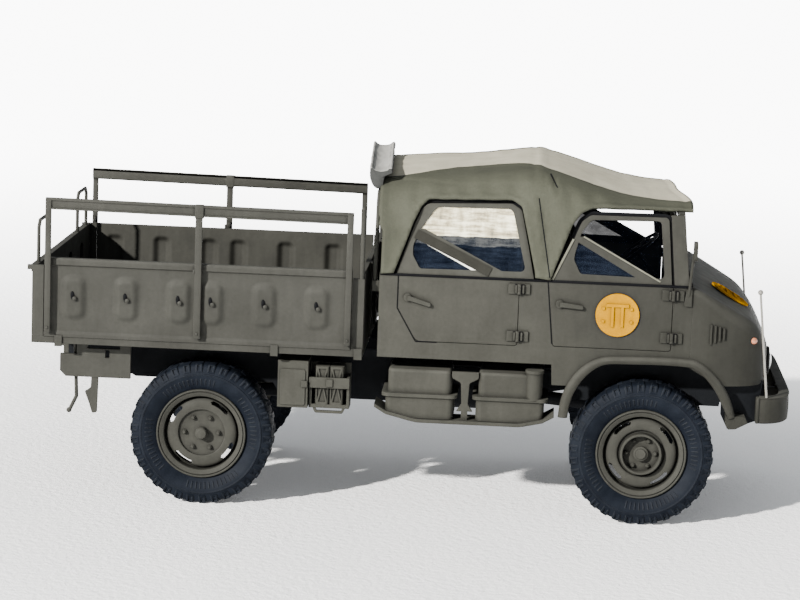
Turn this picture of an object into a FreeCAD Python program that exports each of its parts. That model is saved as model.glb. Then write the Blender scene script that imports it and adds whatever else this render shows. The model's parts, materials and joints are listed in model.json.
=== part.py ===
import FreeCAD
import Part
import math
import os

# Scale model of a light military truck with a double cab and an open cargo bed, 1:35, millimetres.
# X points forward, Y to the truck's left and Z up. The sketch frame has X = 0 and Z = 0 at the middle of
# the front wheels. The finished pieces are moved so that the origin is mid-length, on the ground.
# Lengths along the truck follow from what stands between the two axles, see WHEELBASE below.

# Tyres and wheels
TYRE_RADIUS = 13.5
TYRE_WIDTH = 7.7
TREAD_DEPTH = 0.75
TREAD_BASE = 0.55
LUG_COUNT = 34
LUG_SHARE = 0.55
LUG_SLOPE = 0.06
RIM_RADIUS = 8.5
RIM_WALL = 1.1
RIM_GAP = 0.02
RIM_SET_IN = 0.55
TYRE_BEVEL = 0.6
DISC_RADIUS = 6.6
DISC_THICKNESS = 0.6
DISC_SET_IN = 1.5
HUB_STEP_RADIUS = 4.2
HUB_STEP_DEPTH = 0.3
HUB_RING_WALL = 0.4
HUB_RING_HEIGHT = 1.3
NUT_COUNT = 6
NUT_CIRCLE_REAR = 3.23
NUT_CIRCLE_FRONT = 2.75
NUT_RADIUS = 0.42
NUT_HEIGHT = 0.45
HUB_BOSS_RADIUS = 2.3
HUB_CAP_RADIUS = 1.06
HUB_CAP_HEIGHT = 1.1
SLOT_COUNT = 4
SLOT_RADIUS = 5.75
SLOT_WIDTH = 0.9
SLOT_ANGLE = 26.0
SLOT_TURN_REAR = 53.0
SLOT_TURN_FRONT = 38.0
PIN_RADIUS = 1.2
PIN_CLEARANCE = 0.05
PIN_REACH = 5.2
PIN_END_GAP = 0.3

# Axles with drop boxes and springs
PORTAL_DROP = 3.2
AXLE_TUBE_RADIUS = 1.5
DIFF_RADIUS = 3.6
DIFF_WIDTH = 4.6
DIFF_CONE_LENGTH = 4.0
DROP_BOX_WIDTH = 2.2
DROP_BOX_LOW_RADIUS = 3.1
DROP_BOX_HIGH_RADIUS = 2.3
DRUM_RADIUS = 4.3
DRUM_WIDTH = 1.5
DRUM_GAP = 0.35
KNUCKLE_GAP = 0.1
SPRING_RADIUS = 1.5
SPRING_WIRE = 0.3
SPRING_TURNS = 5
SPRING_SIDE_GAP = 0.1
SPRING_PAN = 2.2
SPRING_HAT = 0.8

# Chassis rails
RAIL_OUTER_Y = 12.0
RAIL_WIDTH = 1.6
RAIL_WALL = 0.5
RAIL_DEPTH = 4.2
RAIL_REAR_TOP = 14.9
RAIL_MID_TOP = 12.1
RAIL_ARCH_TOP = 13.7
RAIL_FRONT_TOP = 11.7
RAIL_REAR_INSET = 4.0
CROSSMEMBER_RADIUS = 1.3

# Row of boxes between the wheels, from the rear tyre to the front arch
CHEST_TO_TYRE = 0.8
CHEST_LENGTH = 5.7
RACK_TO_CHEST = 0.2
RACK_LENGTH = 7.6
TANK_TO_RACK = 6.8
TANK_LENGTH = 12.8
TANK_SPACING = 4.2
TANK_TO_ARCH = 4.2
ARCH_CLEARANCE = 1.2
ARCH_OFFSET = 0.4
ARCH_HALF_WIDTH = TYRE_RADIUS + ARCH_CLEARANCE
ARCH_TOP = TYRE_RADIUS + 4.0
ARCH_LIP = 1.3
ARCH_LIP_PROUD = 0.9
ARCH_REAR = ARCH_OFFSET - ARCH_HALF_WIDTH
TANK_FRONT = ARCH_REAR - TANK_TO_ARCH
TANK_REAR = TANK_FRONT - 2 * TANK_LENGTH - TANK_SPACING
RACK_FRONT = TANK_REAR - TANK_TO_RACK
CHEST_FRONT = RACK_FRONT - RACK_LENGTH - RACK_TO_CHEST
WHEELBASE = CHEST_TO_TYRE + CHEST_LENGTH + TYRE_RADIUS - CHEST_FRONT

# Widths
SPRING_Y = RAIL_OUTER_Y + SPRING_RADIUS + SPRING_SIDE_GAP
BEAM_HALF_LENGTH = SPRING_Y + SPRING_RADIUS + SPRING_SIDE_GAP
DROP_BOX_INNER_Y = BEAM_HALF_LENGTH + 2 * KNUCKLE_GAP
DRUM_INNER_Y = DROP_BOX_INNER_Y + DROP_BOX_WIDTH
DRUM_OUTER_Y = DRUM_INNER_Y + DRUM_WIDTH
WHEEL_Y = DRUM_OUTER_Y + DRUM_GAP + TYRE_WIDTH / 2

# Cab
CAB_HALF_WIDTH = 27.3
CAB_WALL = 0.9
CAB_REAR = -50.1
CAB_FRONT = 8.1
CAB_BOTTOM = 16.5
SIDE_HEIGHT = 15.8
BELT = CAB_BOTTOM + SIDE_HEIGHT
CAB_FLOOR_TOP = 18.5
CAB_FLOOR_THICKNESS = 0.8
SEAM = 0.12
PANE_THICKNESS = 0.3
TUMBLEHOME = 12.0
SCREEN_BASE_X = 7.3
SCREEN_TOP_X = 6.1
SCREEN_TOP = BELT + 13.1
SCREEN_THICKNESS = 1.2
PILLAR_DEPTH = 2.7
HINGE_HEIGHT = 1.9
HINGE_LEAF = 2.0
HINGE_PROUD = 0.35
KNUCKLE_RADIUS = 0.4
HANDLE_PROUD = 0.6
DISC_BADGE_RADIUS = 4.05
DISC_BADGE_THICKNESS = 0.35

# Cargo bed
BED_REAR_OVERHANG = 32.0
BED_TO_CAB = 2.6
BED_REAR = -WHEELBASE - BED_REAR_OVERHANG
BED_FRONT = CAB_REAR - BED_TO_CAB
BED_HALF_WIDTH = 29.3
BEARER_HEIGHT = 1.7
BED_BOTTOM = RAIL_REAR_TOP + BEARER_HEIGHT
SILL_HEIGHT = 1.3
DECK_RISE = 0.25
DECK_GAP = 0.15
WALL_HEIGHT = 16.2
WALL_TOP = BED_BOTTOM + WALL_HEIGHT
CORNER_TOP = WALL_TOP - 1.5
WALL_THICKNESS = 0.9
RIM_DEPTH = 1.4
RIM_PROUD = 0.35
CORNER_LENGTH = 2.2
PAD_WIDTH = 4.6
PAD_HEIGHT = 8.3
PAD_BELOW_RIM = 7.35
PAD_PROUD = 0.55
PAD_WALL = 0.5
PAD_FROM_MIDDLE = 3.05
PAD_FROM_END = 8.3
HOOK_RISE = 0.25
BEARER_WIDTH = 2.2
BEARER_COUNT = 6
BEARER_INSET = 3.0
BEARER_HALF_LENGTH = WHEEL_Y - TYRE_WIDTH / 2 - 0.65
SKIRT_Y = BED_HALF_WIDTH - 3.7
SKIRT_THICKNESS = 0.9

# Rails above the bed sides, stakes and grab loops
POST_DEPTH = 0.8
POST_GAP = 0.05
POST_WIDTH = 1.25
MID_POST_WIDTH = 1.9
COLLAR_WIDTH = MID_POST_WIDTH + 0.8
POST_FOOT = 2.3
BAR_RISE = 11.0
BAR_DEPTH = 2.1
POST_REAR_INSET = 3.2
POST_FRONT_INSET = 2.9
STAKE_RADIUS = 0.47
STAKE_HEIGHT = 13.4
LOOP_ROD = 0.35
LOOP_WIDTH = 10.0
LOOP_OUTER_Y = BED_HALF_WIDTH - 3.8
LOOP_INNER_Y = LOOP_OUTER_Y - LOOP_WIDTH
LOOP_HEIGHT = 7.8
LOOP_BEND = 1.2
PIN_BORE_RADIUS = 0.6

# Nose, lamps and bumper
NOSE_FRONT = 22.8
NOSE_BOTTOM = 13.8
NOSE_HALF_WIDTH = CAB_HALF_WIDTH - 3.2
NOSE_TOP = BELT - 11.4
LAMP_RADIUS = 2.3
LAMP_Y = NOSE_HALF_WIDTH - 6.7
LAMP_Z = (NOSE_BOTTOM + NOSE_TOP) / 2 + 0.55
GRILLE_HALF_WIDTH = LAMP_Y - LAMP_RADIUS - 3.6
GRILLE_BOTTOM = NOSE_BOTTOM + 1.1
GRILLE_TOP = NOSE_TOP - 0.7
GRILLE_BARS = 9
LAMP_RING = 0.4
BUMPER_TOP = 11.7
BUMPER_BOTTOM = 6.7
BUMPER_HALF_WIDTH = CAB_HALF_WIDTH - 1.3
BUMPER_WALL = 0.6
BUMPER_FLANGE = 1.8
BUMPER_END_X = 21.3
FRONT_OVERHANG = 27.7
WAND_HEIGHT = 19.8
WAND_RADIUS = 0.22
WAND_BALL = 0.5

# Canvas
CANVAS_WALL = 0.7
CANVAS_OUT = 0.45
CURTAIN_HALF_WIDTH = CAB_HALF_WIDTH - 5.3

SHIFT_X = (WHEELBASE + BED_REAR_OVERHANG + 1.0 - FRONT_OVERHANG) / 2


def vec(x, y, z):
    return FreeCAD.Vector(x, y, z)


def unit(a, b):
    length = math.hypot(a, b)
    return a / length, b / length


def block(x0, x1, y0, y1, z0, z1):
    return Part.makeBox(x1 - x0, y1 - y0, z1 - z0, vec(x0, y0, z0))


def rounded_corner(before, here, after):
    """Where the arc of a corner (a, b, radius) starts, where it ends and its middle point."""
    to_before = unit(before[0] - here[0], before[1] - here[1])
    to_after = unit(after[0] - here[0], after[1] - here[1])
    half = math.acos(to_before[0] * to_after[0] + to_before[1] * to_after[1]) / 2
    reach = here[2] / math.tan(half)
    middle = here[2] / math.sin(half) - here[2]
    inwards = unit(to_before[0] + to_after[0], to_before[1] + to_after[1])
    start = (here[0] + to_before[0] * reach, here[1] + to_before[1] * reach)
    end = (here[0] + to_after[0] * reach, here[1] + to_after[1] * reach)
    return start, end, (here[0] + inwards[0] * middle, here[1] + inwards[1] * middle)


def outline(points, place):
    """Closed face through the corners. A third number in a corner rounds it with that radius."""
    count = len(points)
    corners = []
    for i, here in enumerate(points):
        if len(here) > 2 and here[2] > 0:
            corners.append(rounded_corner(points[i - 1], here, points[(i + 1) % count]))
        else:
            corners.append((here[:2], here[:2], None))
    edges = []
    for i, (start, end, middle) in enumerate(corners):
        if middle:
            edges.append(Part.Arc(place(*start), place(*middle), place(*end)).toShape())
        after = corners[(i + 1) % count][0]
        if math.hypot(after[0] - end[0], after[1] - end[1]) > 1e-6:
            edges.append(Part.makeLine(place(*end), place(*after)))
    return Part.Face(Part.Wire(edges))


def prism_xz(points, y0, y1):
    return outline(points, lambda x, z: vec(x, y0, z)).extrude(vec(0, y1 - y0, 0))


def prism_xy(points, z0, z1):
    return outline(points, lambda x, y: vec(x, y, z0)).extrude(vec(0, 0, z1 - z0))


def prism_yz(points, x0, x1):
    return outline(points, lambda y, z: vec(x0, y, z)).extrude(vec(x1 - x0, 0, 0))


def box_outline(a0, a1, b0, b1, radius):
    return [(a0, b0, radius), (a1, b0, radius), (a1, b1, radius), (a0, b1, radius)]


def grown(points, distance):
    """Outline with every side moved outwards by the distance, or inwards where it is negative."""
    count = len(points)
    area = sum(points[i - 1][0] * points[i][1] - points[i][0] * points[i - 1][1] for i in range(count))
    turn = 1 if area > 0 else -1
    result = []
    for i in range(count):
        before, here, after = points[i - 1], points[i], points[(i + 1) % count]
        in_a, in_b = unit(here[0] - before[0], here[1] - before[1])
        out_a, out_b = unit(after[0] - here[0], after[1] - here[1])
        scale = distance * turn / (1 + in_a * out_a + in_b * out_b)
        corner = (here[0] + (in_b + out_b) * scale, here[1] - (in_a + out_a) * scale)
        if len(here) > 2:
            bends_out = (in_a * out_b - in_b * out_a) * turn > 0
            corner += (max(0.0, here[2] + (distance if bends_out else -distance)),)
        result.append(corner)
    return result


def raised(points, height):
    return [(p[0], p[1] + height) + tuple(p[2:]) for p in points]


def rod(start, end, radius):
    run = end - start
    return Part.makeCylinder(radius, run.Length, start, run)


def bent_rod(points, radius):
    runs = [rod(points[i], points[i + 1], radius) for i in range(len(points) - 1)]
    return fuse(runs + [Part.makeSphere(radius, p) for p in points[1:-1]])


def mirrored(shape):
    return shape.mirror(vec(0, 0, 0), vec(0, 1, 0))


def both_sides(shape):
    return [shape, mirrored(shape)]


def fuse(shapes):
    whole = shapes[0]
    if len(shapes) > 1:
        whole = whole.fuse(shapes[1:])
    return whole.removeSplitter()


def along(axis):
    def chosen(edge):
        if edge.Curve.TypeId != "Part::GeomLine":
            return False
        run = edge.Vertexes[-1].Point - edge.Vertexes[0].Point
        return abs(run.normalize().dot(axis)) > 0.99
    return chosen


def revolve_about_y(points):
    wire = Part.makePolygon([vec(r, y, 0) for y, r in points + points[:1]])
    return Part.Face(wire).revolve(vec(0, 0, 0), vec(0, 1, 0), 360)


def polar(radius, degrees):
    return radius * math.cos(math.radians(degrees)), radius * math.sin(math.radians(degrees))


def save(name, solids):
    shape = solids[0] if len(solids) == 1 else Part.makeCompound(solids)
    shape = shape.copy()
    shape.translate(vec(SHIFT_X, 0, TYRE_RADIUS))
    for solid in shape.Solids:
        if not solid.isValid():
            print("not valid:", name)
    print(name, len(shape.Solids), "solids", round(shape.Volume, 2))
    shape.exportStep("parts/" + name + ".step")


# Wheels: the outward face of a wheel looks towards -Y here, and the left wheels are mirror images.

def tyre():
    """Ring with one row of full-width lugs, open in the middle for the drum of the rim."""
    half = TYRE_WIDTH / 2
    hole = RIM_RADIUS + RIM_GAP
    tread = TYRE_RADIUS - TREAD_DEPTH
    shoulder = tread - TREAD_BASE
    body = revolve_about_y([(TYRE_BEVEL - half, hole), (-half, hole + TYRE_BEVEL), (-half, shoulder), (half, shoulder),
                            (half, hole + TYRE_BEVEL), (half - TYRE_BEVEL, hole)])
    lugs = []
    for i in range(LUG_COUNT):
        for radius, share in ((tread, 0.0), (TYRE_RADIUS, LUG_SLOPE), (TYRE_RADIUS, LUG_SHARE), (tread, LUG_SHARE + LUG_SLOPE)):
            lugs.append(polar(radius, (i + share) * 360 / LUG_COUNT))
    core = Part.makeCylinder(shoulder - 1, TYRE_WIDTH, vec(0, -half, 0), vec(0, 1, 0))
    return fuse([body, prism_xz(lugs, -half, half).cut(core)])


def nuts(circle, face):
    solids = []
    for i in range(NUT_COUNT):
        x, z = polar(circle, i * 360 / NUT_COUNT)
        corners = [polar(NUT_RADIUS, 60 * k) for k in range(6)]
        solids.append(prism_xz([(x + a, z + b) for a, b in corners], face - NUT_HEIGHT, face))
    return solids


def slot(middle, y0, y1):
    inner = SLOT_RADIUS - SLOT_WIDTH / 2
    outer = SLOT_RADIUS + SLOT_WIDTH / 2
    start, end = middle - SLOT_ANGLE / 2, middle + SLOT_ANGLE / 2
    spots = []
    for radius, angle in ((outer, start), (outer, middle), (outer, end), (inner, end), (inner, middle), (inner, start)):
        x, z = polar(radius, angle)
        spots.append(vec(x, y0, z))
    edges = [Part.Arc(*spots[:3]).toShape(), Part.makeLine(spots[2], spots[3]),
             Part.Arc(*spots[3:]).toShape(), Part.makeLine(spots[5], spots[0])]
    return Part.Face(Part.Wire(edges)).extrude(vec(0, y1 - y0, 0))


def wheel_disc(front):
    half = TYRE_WIDTH / 2
    lip = -half + RIM_SET_IN
    disc = -half + DISC_SET_IN
    hub_face = disc + HUB_STEP_DEPTH
    back = disc + DISC_THICKNESS
    inner = RIM_RADIUS - RIM_WALL
    ring_inner = HUB_STEP_RADIUS - HUB_RING_WALL
    profile = [(lip, RIM_RADIUS), (-lip, RIM_RADIUS), (-lip, inner), (back + 0.9, inner), (back + 0.4, DISC_RADIUS),
               (back, DISC_RADIUS - 0.4), (back, HUB_BOSS_RADIUS), (half - 0.25, HUB_BOSS_RADIUS),
               (half - 0.25, 0), (hub_face, 0), (hub_face, ring_inner)]
    if front:
        top = disc - HUB_RING_HEIGHT
        profile += [(top, ring_inner), (top, HUB_STEP_RADIUS - 0.15), (disc, HUB_STEP_RADIUS)]
    else:
        profile += [(disc, HUB_STEP_RADIUS)]
    profile += [(disc, DISC_RADIUS - 0.3), (disc + 0.5, DISC_RADIUS + 0.2), (lip, inner + 0.1)]
    cap = Part.makeCylinder(HUB_CAP_RADIUS, HUB_CAP_HEIGHT, vec(0, hub_face - HUB_CAP_HEIGHT, 0), vec(0, 1, 0))
    circle, turn = (NUT_CIRCLE_FRONT, SLOT_TURN_FRONT) if front else (NUT_CIRCLE_REAR, SLOT_TURN_REAR)
    wheel = fuse([revolve_about_y(profile), cap] + nuts(circle, hub_face))
    slots = [slot(turn + i * 360 / SLOT_COUNT, disc - 1, back + 1) for i in range(SLOT_COUNT)]
    depth = PIN_REACH + PIN_END_GAP
    bore = Part.makeCylinder(PIN_RADIUS + PIN_CLEARANCE, depth, vec(0, half - depth, 0), vec(0, 1, 0))
    return wheel.cut(slots + [bore])


def wheels():
    rubber = tyre()
    for end, x in (("rear", -WHEELBASE), ("front", 0.0)):
        for name, shape in (("tyre_", rubber), ("wheel_disc_", wheel_disc(end == "front"))):
            piece = shape.copy()
            piece.translate(vec(x, -WHEEL_Y, 0))
            save(name + end + "_right", [piece])
            save(name + end + "_left", [mirrored(piece)])


# Axles

def hub_carrier(x):
    drum = Part.makeCylinder(DRUM_RADIUS, DRUM_WIDTH, vec(x, -DRUM_OUTER_Y, 0), vec(0, 1, 0))
    low = Part.makeCylinder(DROP_BOX_LOW_RADIUS, DROP_BOX_WIDTH, vec(x, -DRUM_INNER_Y, 0), vec(0, 1, 0))
    high = Part.makeCylinder(DROP_BOX_HIGH_RADIUS, DROP_BOX_WIDTH, vec(x, -DRUM_INNER_Y, PORTAL_DROP), vec(0, 1, 0))
    web = block(x - DROP_BOX_HIGH_RADIUS, x + DROP_BOX_HIGH_RADIUS, -DRUM_INNER_Y, -DROP_BOX_INNER_Y, 0, PORTAL_DROP)
    pin = Part.makeCylinder(PIN_RADIUS, PIN_REACH + DRUM_GAP, vec(x, -DRUM_OUTER_Y, 0), vec(0, -1, 0))
    return fuse([drum, low, high, web, pin])


def axle_beam(x, half_length):
    tube = rod(vec(x, -half_length, PORTAL_DROP), vec(x, half_length, PORTAL_DROP), AXLE_TUBE_RADIUS)
    bulb = Part.makeSphere(DIFF_RADIUS, vec(x, 0, PORTAL_DROP))
    slab = block(x - 2 * DIFF_RADIUS, x + 2 * DIFF_RADIUS, -DIFF_WIDTH / 2, DIFF_WIDTH / 2,
                 PORTAL_DROP - 2 * DIFF_RADIUS, PORTAL_DROP + 2 * DIFF_RADIUS)
    sides = []
    for side in (-1, 1):
        sides.append(Part.makeCone(0.75 * DIFF_RADIUS, AXLE_TUBE_RADIUS, DIFF_CONE_LENGTH,
                                   vec(x, side * DIFF_WIDTH / 2, PORTAL_DROP), vec(0, side, 0)))
        sides.append(Part.makeCylinder(SPRING_RADIUS + SPRING_SIDE_GAP, SPRING_PAN,
                                       vec(x, side * SPRING_Y, PORTAL_DROP), vec(0, 0, 1)))
    return fuse([tube, bulb.common(slab)] + sides)


def axles():
    rear = hub_carrier(-WHEELBASE)
    save("rear_axle", [fuse([axle_beam(-WHEELBASE, DROP_BOX_INNER_Y)] + both_sides(rear))])
    save("front_knuckles", both_sides(hub_carrier(0)))
    save("front_axle", [axle_beam(0, DROP_BOX_INNER_Y - KNUCKLE_GAP)])


def coil_spring(x, z0, z1):
    pitch = (z1 - z0) / SPRING_TURNS
    core = SPRING_RADIUS - 2 * SPRING_WIRE
    y = -SPRING_Y
    points = [vec(x, y, z0), vec(x + core, y, z0)]
    for i in range(SPRING_TURNS):
        z = z0 + i * pitch
        points += [vec(x + SPRING_RADIUS, y, z + pitch / 2), vec(x + core, y, z + pitch)]
    points += [vec(x, y, z1), points[0]]
    return Part.Face(Part.makePolygon(points)).revolve(vec(x, y, z0), vec(0, 0, 1), 360)


def springs():
    base = PORTAL_DROP + SPRING_PAN
    rear = coil_spring(-WHEELBASE, base, RAIL_REAR_TOP - SPRING_HAT)
    front = coil_spring(0, base, RAIL_ARCH_TOP - SPRING_HAT)
    save("coil_springs", both_sides(rear) + both_sides(front))


# Chassis

def rail_outline():
    top = [(BED_REAR + RAIL_REAR_INSET, RAIL_REAR_TOP), (CAB_REAR - 10.8, RAIL_REAR_TOP, 3),
           (CAB_REAR + 1.2, RAIL_MID_TOP, 3), (ARCH_REAR - 4.6, RAIL_MID_TOP, 3), (ARCH_REAR + 3.4, RAIL_ARCH_TOP, 3),
           (9.1, RAIL_ARCH_TOP, 2), (16.1, RAIL_FRONT_TOP, 2), (NOSE_FRONT + 0.7, RAIL_FRONT_TOP)]
    return top + [(p[0], p[1] - RAIL_DEPTH) + p[2:] for p in reversed(top)]


def chassis():
    points = rail_outline()
    outer_y, inner_y = -RAIL_OUTER_Y, -RAIL_OUTER_Y + RAIL_WIDTH
    channel = prism_xz(grown(points, -RAIL_WALL), outer_y + RAIL_WALL, inner_y + 1)
    save("chassis_rails", both_sides(prism_xz(points, outer_y, inner_y).cut(channel)))
    reach = RAIL_OUTER_Y - RAIL_WALL
    members = []
    for x, top in ((points[0][0] + 2.2, RAIL_REAR_TOP), (CHEST_FRONT, RAIL_REAR_TOP), (CAB_REAR + 5.2, RAIL_MID_TOP),
                   (ARCH_REAR - 5.6, RAIL_MID_TOP), (18.6, RAIL_FRONT_TOP)):
        z = top - RAIL_DEPTH / 2
        members.append(rod(vec(x, -reach, z), vec(x, reach, z), CROSSMEMBER_RADIUS))
    for bracket in outriggers():
        members += both_sides(bracket)
    save("chassis_crossmembers", members)


def outriggers():
    solids = []
    for middle, inner_y, z0, z1 in ((TANK_REAR + TANK_LENGTH / 2, TANK_INNER_Y, TANK_SEAM + 0.5, TANK_SEAM + 2.1),
                                    (TANK_FRONT - TANK_LENGTH / 2, TANK_INNER_Y, TANK_SEAM + 0.5, TANK_SEAM + 2.1),
                                    (CHEST_FRONT - CHEST_LENGTH / 2, CHEST_INNER_Y, CHEST_TOP - 2.4, CHEST_TOP),
                                    (RACK_FRONT - RACK_LENGTH / 2, RACK_INNER_Y, RACK_TOP - 2.6, RACK_TOP - 0.6)):
        solids.append(block(middle - 1.2, middle + 1.2, -inner_y, -RAIL_OUTER_Y, z0, z1))
    for x, z0 in ((CAB_REAR + 11.2, RAIL_MID_TOP), (-9.3, RAIL_ARCH_TOP)):
        height = CAB_FLOOR_TOP - CAB_FLOOR_THICKNESS - z0
        solids.append(Part.makeCylinder(1.3, height, vec(x, -RAIL_OUTER_Y + 1.3, z0), vec(0, 0, 1)))
    for x, z1 in ((-WHEELBASE, RAIL_REAR_TOP), (0.0, RAIL_ARCH_TOP)):
        solids.append(block(x - SPRING_RADIUS, x + SPRING_RADIUS, -SPRING_Y - SPRING_RADIUS, -RAIL_OUTER_Y,
                            z1 - SPRING_HAT, z1))
    return solids


ENGINE_REAR = -6.9
ENGINE_FRONT = 14.1
ENGINE_HALF_WIDTH = 5.5
ENGINE_TOP = BELT - 8.8
COVER_HALF_WIDTH = 7.0
ENGINE_BOTTOM = 11.0
GEARBOX_X = -32.4
GEARBOX_HALF_LENGTH = 6.5


def driveline():
    gearbox_z = PORTAL_DROP + 2.6
    case = block(GEARBOX_X - GEARBOX_HALF_LENGTH, GEARBOX_X + GEARBOX_HALF_LENGTH, -4.0, 4.0,
                 gearbox_z - 3.4, gearbox_z + 3.4)
    case = case.makeFillet(1.4, [e for e in case.Edges if along(vec(1, 0, 0))(e)])
    tubes = []
    for x in (-WHEELBASE, 0.0):
        ball = Part.makeSphere(DIFF_RADIUS + 0.05, vec(x, 0, PORTAL_DROP))
        shaft = rod(vec(GEARBOX_X, 0, gearbox_z), vec(x, 0, PORTAL_DROP), 1.3)
        tubes.append(shaft.cut([ball, case]))
    save("torque_tubes", tubes)
    save("gearbox", [case])
    inner = RAIL_OUTER_Y - RAIL_WIDTH
    engine = block(ENGINE_REAR, ENGINE_FRONT, -ENGINE_HALF_WIDTH, ENGINE_HALF_WIDTH, ENGINE_BOTTOM, ENGINE_TOP)
    arms = block(5.1, 7.5, -inner, inner, ENGINE_BOTTOM, ENGINE_BOTTOM + 1.5)
    hoses = block(ENGINE_FRONT - 0.5, NOSE_FRONT - 2.6, -2.0, 2.0, GRILLE_BOTTOM + 1.0, GRILLE_TOP - 1.0)
    radiator = block(NOSE_FRONT - 2.6, NOSE_FRONT - 1.6, -GRILLE_HALF_WIDTH - 0.5, GRILLE_HALF_WIDTH + 0.5,
                     NOSE_BOTTOM + 0.2, GRILLE_TOP + 0.6)
    save("engine_block", [fuse([engine, arms, hoses, radiator])])


# Boxes and racks under the body

TANK_OUTER_Y = CAB_HALF_WIDTH - 0.3
TANK_INNER_Y = RAIL_OUTER_Y + 4.0
TANK_BOTTOM = 5.0
TANK_SEAM = TANK_BOTTOM + 4.4
TANK_TOP = TANK_SEAM + 4.8
CHEST_INNER_Y = CAB_HALF_WIDTH - 6.8
CHEST_TOP = RAIL_REAR_TOP
CHEST_BOTTOM = 6.0
RACK_INNER_Y = CAB_HALF_WIDTH - 5.4
RACK_BOTTOM = 6.0
RACK_TOP = RACK_BOTTOM + 8.1
CAN_LENGTH = 2.6


TRAY_THICKNESS = 0.65


def tray_line(x0, x1):
    z = TANK_BOTTOM
    return [(x0 - 2.0, z + 2.6), (x0 + 0.2, z + 1.3), (x0 + 5.8, z - 0.05, 8), (x1 - 4.4, z - 0.05, 8),
            (x1 - 0.2, z + 0.9), (x1 + 1.9, z + 2.1)]


def tank(x0, x1):
    """Two pressed halves with a flange between them. The upper one leans in and has soft top edges."""
    lower = prism_xy(box_outline(x0, x1, -TANK_OUTER_Y, -TANK_INNER_Y, 1.1), TANK_BOTTOM, TANK_SEAM)
    inset = 0.4
    upper = prism_xy(box_outline(x0 + inset, x1 - inset, -TANK_OUTER_Y + inset, -TANK_INNER_Y, 1.2),
                     TANK_SEAM, TANK_TOP)
    rim = [e for e in upper.Edges if e.BoundBox.ZMin > TANK_TOP - 0.01]
    upper = upper.makeFillet(0.6, rim)
    flange = prism_xy(box_outline(x0 - 0.7, x1 + 0.7, -TANK_OUTER_Y - 0.45, -TANK_INNER_Y, 1.4),
                      TANK_SEAM - 0.35, TANK_SEAM + 0.3)
    return [lower, upper, flange]


def side_tanks():
    x0, x1 = TANK_REAR, TANK_FRONT
    line = tray_line(x0, x1)
    below = prism_xz(line + [(x1 + 3, 0), (x0 - 3, 0)], -TANK_OUTER_Y - 2, -TANK_INNER_Y + 2)
    pieces = [p.cut(below) for p in tank(x0, x0 + TANK_LENGTH) + tank(x1 - TANK_LENGTH, x1)]
    band = line + raised(reversed(line), -TRAY_THICKNESS)
    pieces.append(prism_xz(band, -TANK_OUTER_Y - 0.6, -TANK_OUTER_Y + 6.0))
    neck = Part.makeCylinder(1.5, TANK_TOP - TANK_SEAM + 0.4, vec(x1 - 2.0, -TANK_OUTER_Y + 0.9, TANK_SEAM), vec(0, 0, 1))
    cap = Part.makeCylinder(1.75, 0.6, vec(x1 - 2.0, -TANK_OUTER_Y + 0.9, TANK_TOP + 0.3), vec(0, 0, 1))
    clamp_x = x0 + TANK_LENGTH + TANK_SPACING / 2
    top, foot = TANK_TOP, TANK_BOTTOM
    arm = TANK_SPACING / 2 + 0.4
    clamp = [(clamp_x - arm, top - 0.1), (clamp_x - arm, top - 1.3, 0.6), (clamp_x - 0.8, top - 2.2, 0.6),
             (clamp_x - 0.6, foot + 3.0), (clamp_x - 1.5, foot + 1.6), (clamp_x + 1.5, foot + 1.6),
             (clamp_x + 0.6, foot + 3.0), (clamp_x + 0.8, top - 2.2, 0.6), (clamp_x + arm, top - 1.3, 0.6),
             (clamp_x + arm, top - 0.1)]
    strut = prism_xz(clamp, -TANK_OUTER_Y + 0.6, -TANK_OUTER_Y + 1.3)
    stem = block(clamp_x - 0.6, clamp_x + 0.6, -TANK_OUTER_Y + 0.6, -TANK_OUTER_Y + 1.3, foot - 0.4, foot + 2.0)
    save("side_tanks", both_sides(fuse(pieces + [neck, cap, strut, stem])))


def embossed_can(x0, x1, y0, y1, z0, z1):
    """Fuel can with the pressed X of four triangular hollows in its outer face."""
    can = prism_xy(box_outline(x0, x1, y0, y1, 0.5), z0, z1)
    cx, cz = (x0 + x1) / 2, (z0 + z1) / 2
    a, b = (x1 - x0) / 2 - 0.35, (z1 - z0) / 2 - 0.45
    rib = 0.25
    for side in (-1, 1):
        flat = [(cx + side * a, cz - b + rib), (cx + side * a, cz + b - rib), (cx + side * rib, cz)]
        tall = [(cx - a + rib, cz + side * b), (cx + a - rib, cz + side * b), (cx, cz + side * rib)]
        for hollow in (flat, tall):
            can = can.cut(prism_xz(hollow, y0 - 1, y0 + 0.25))
    return can


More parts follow.
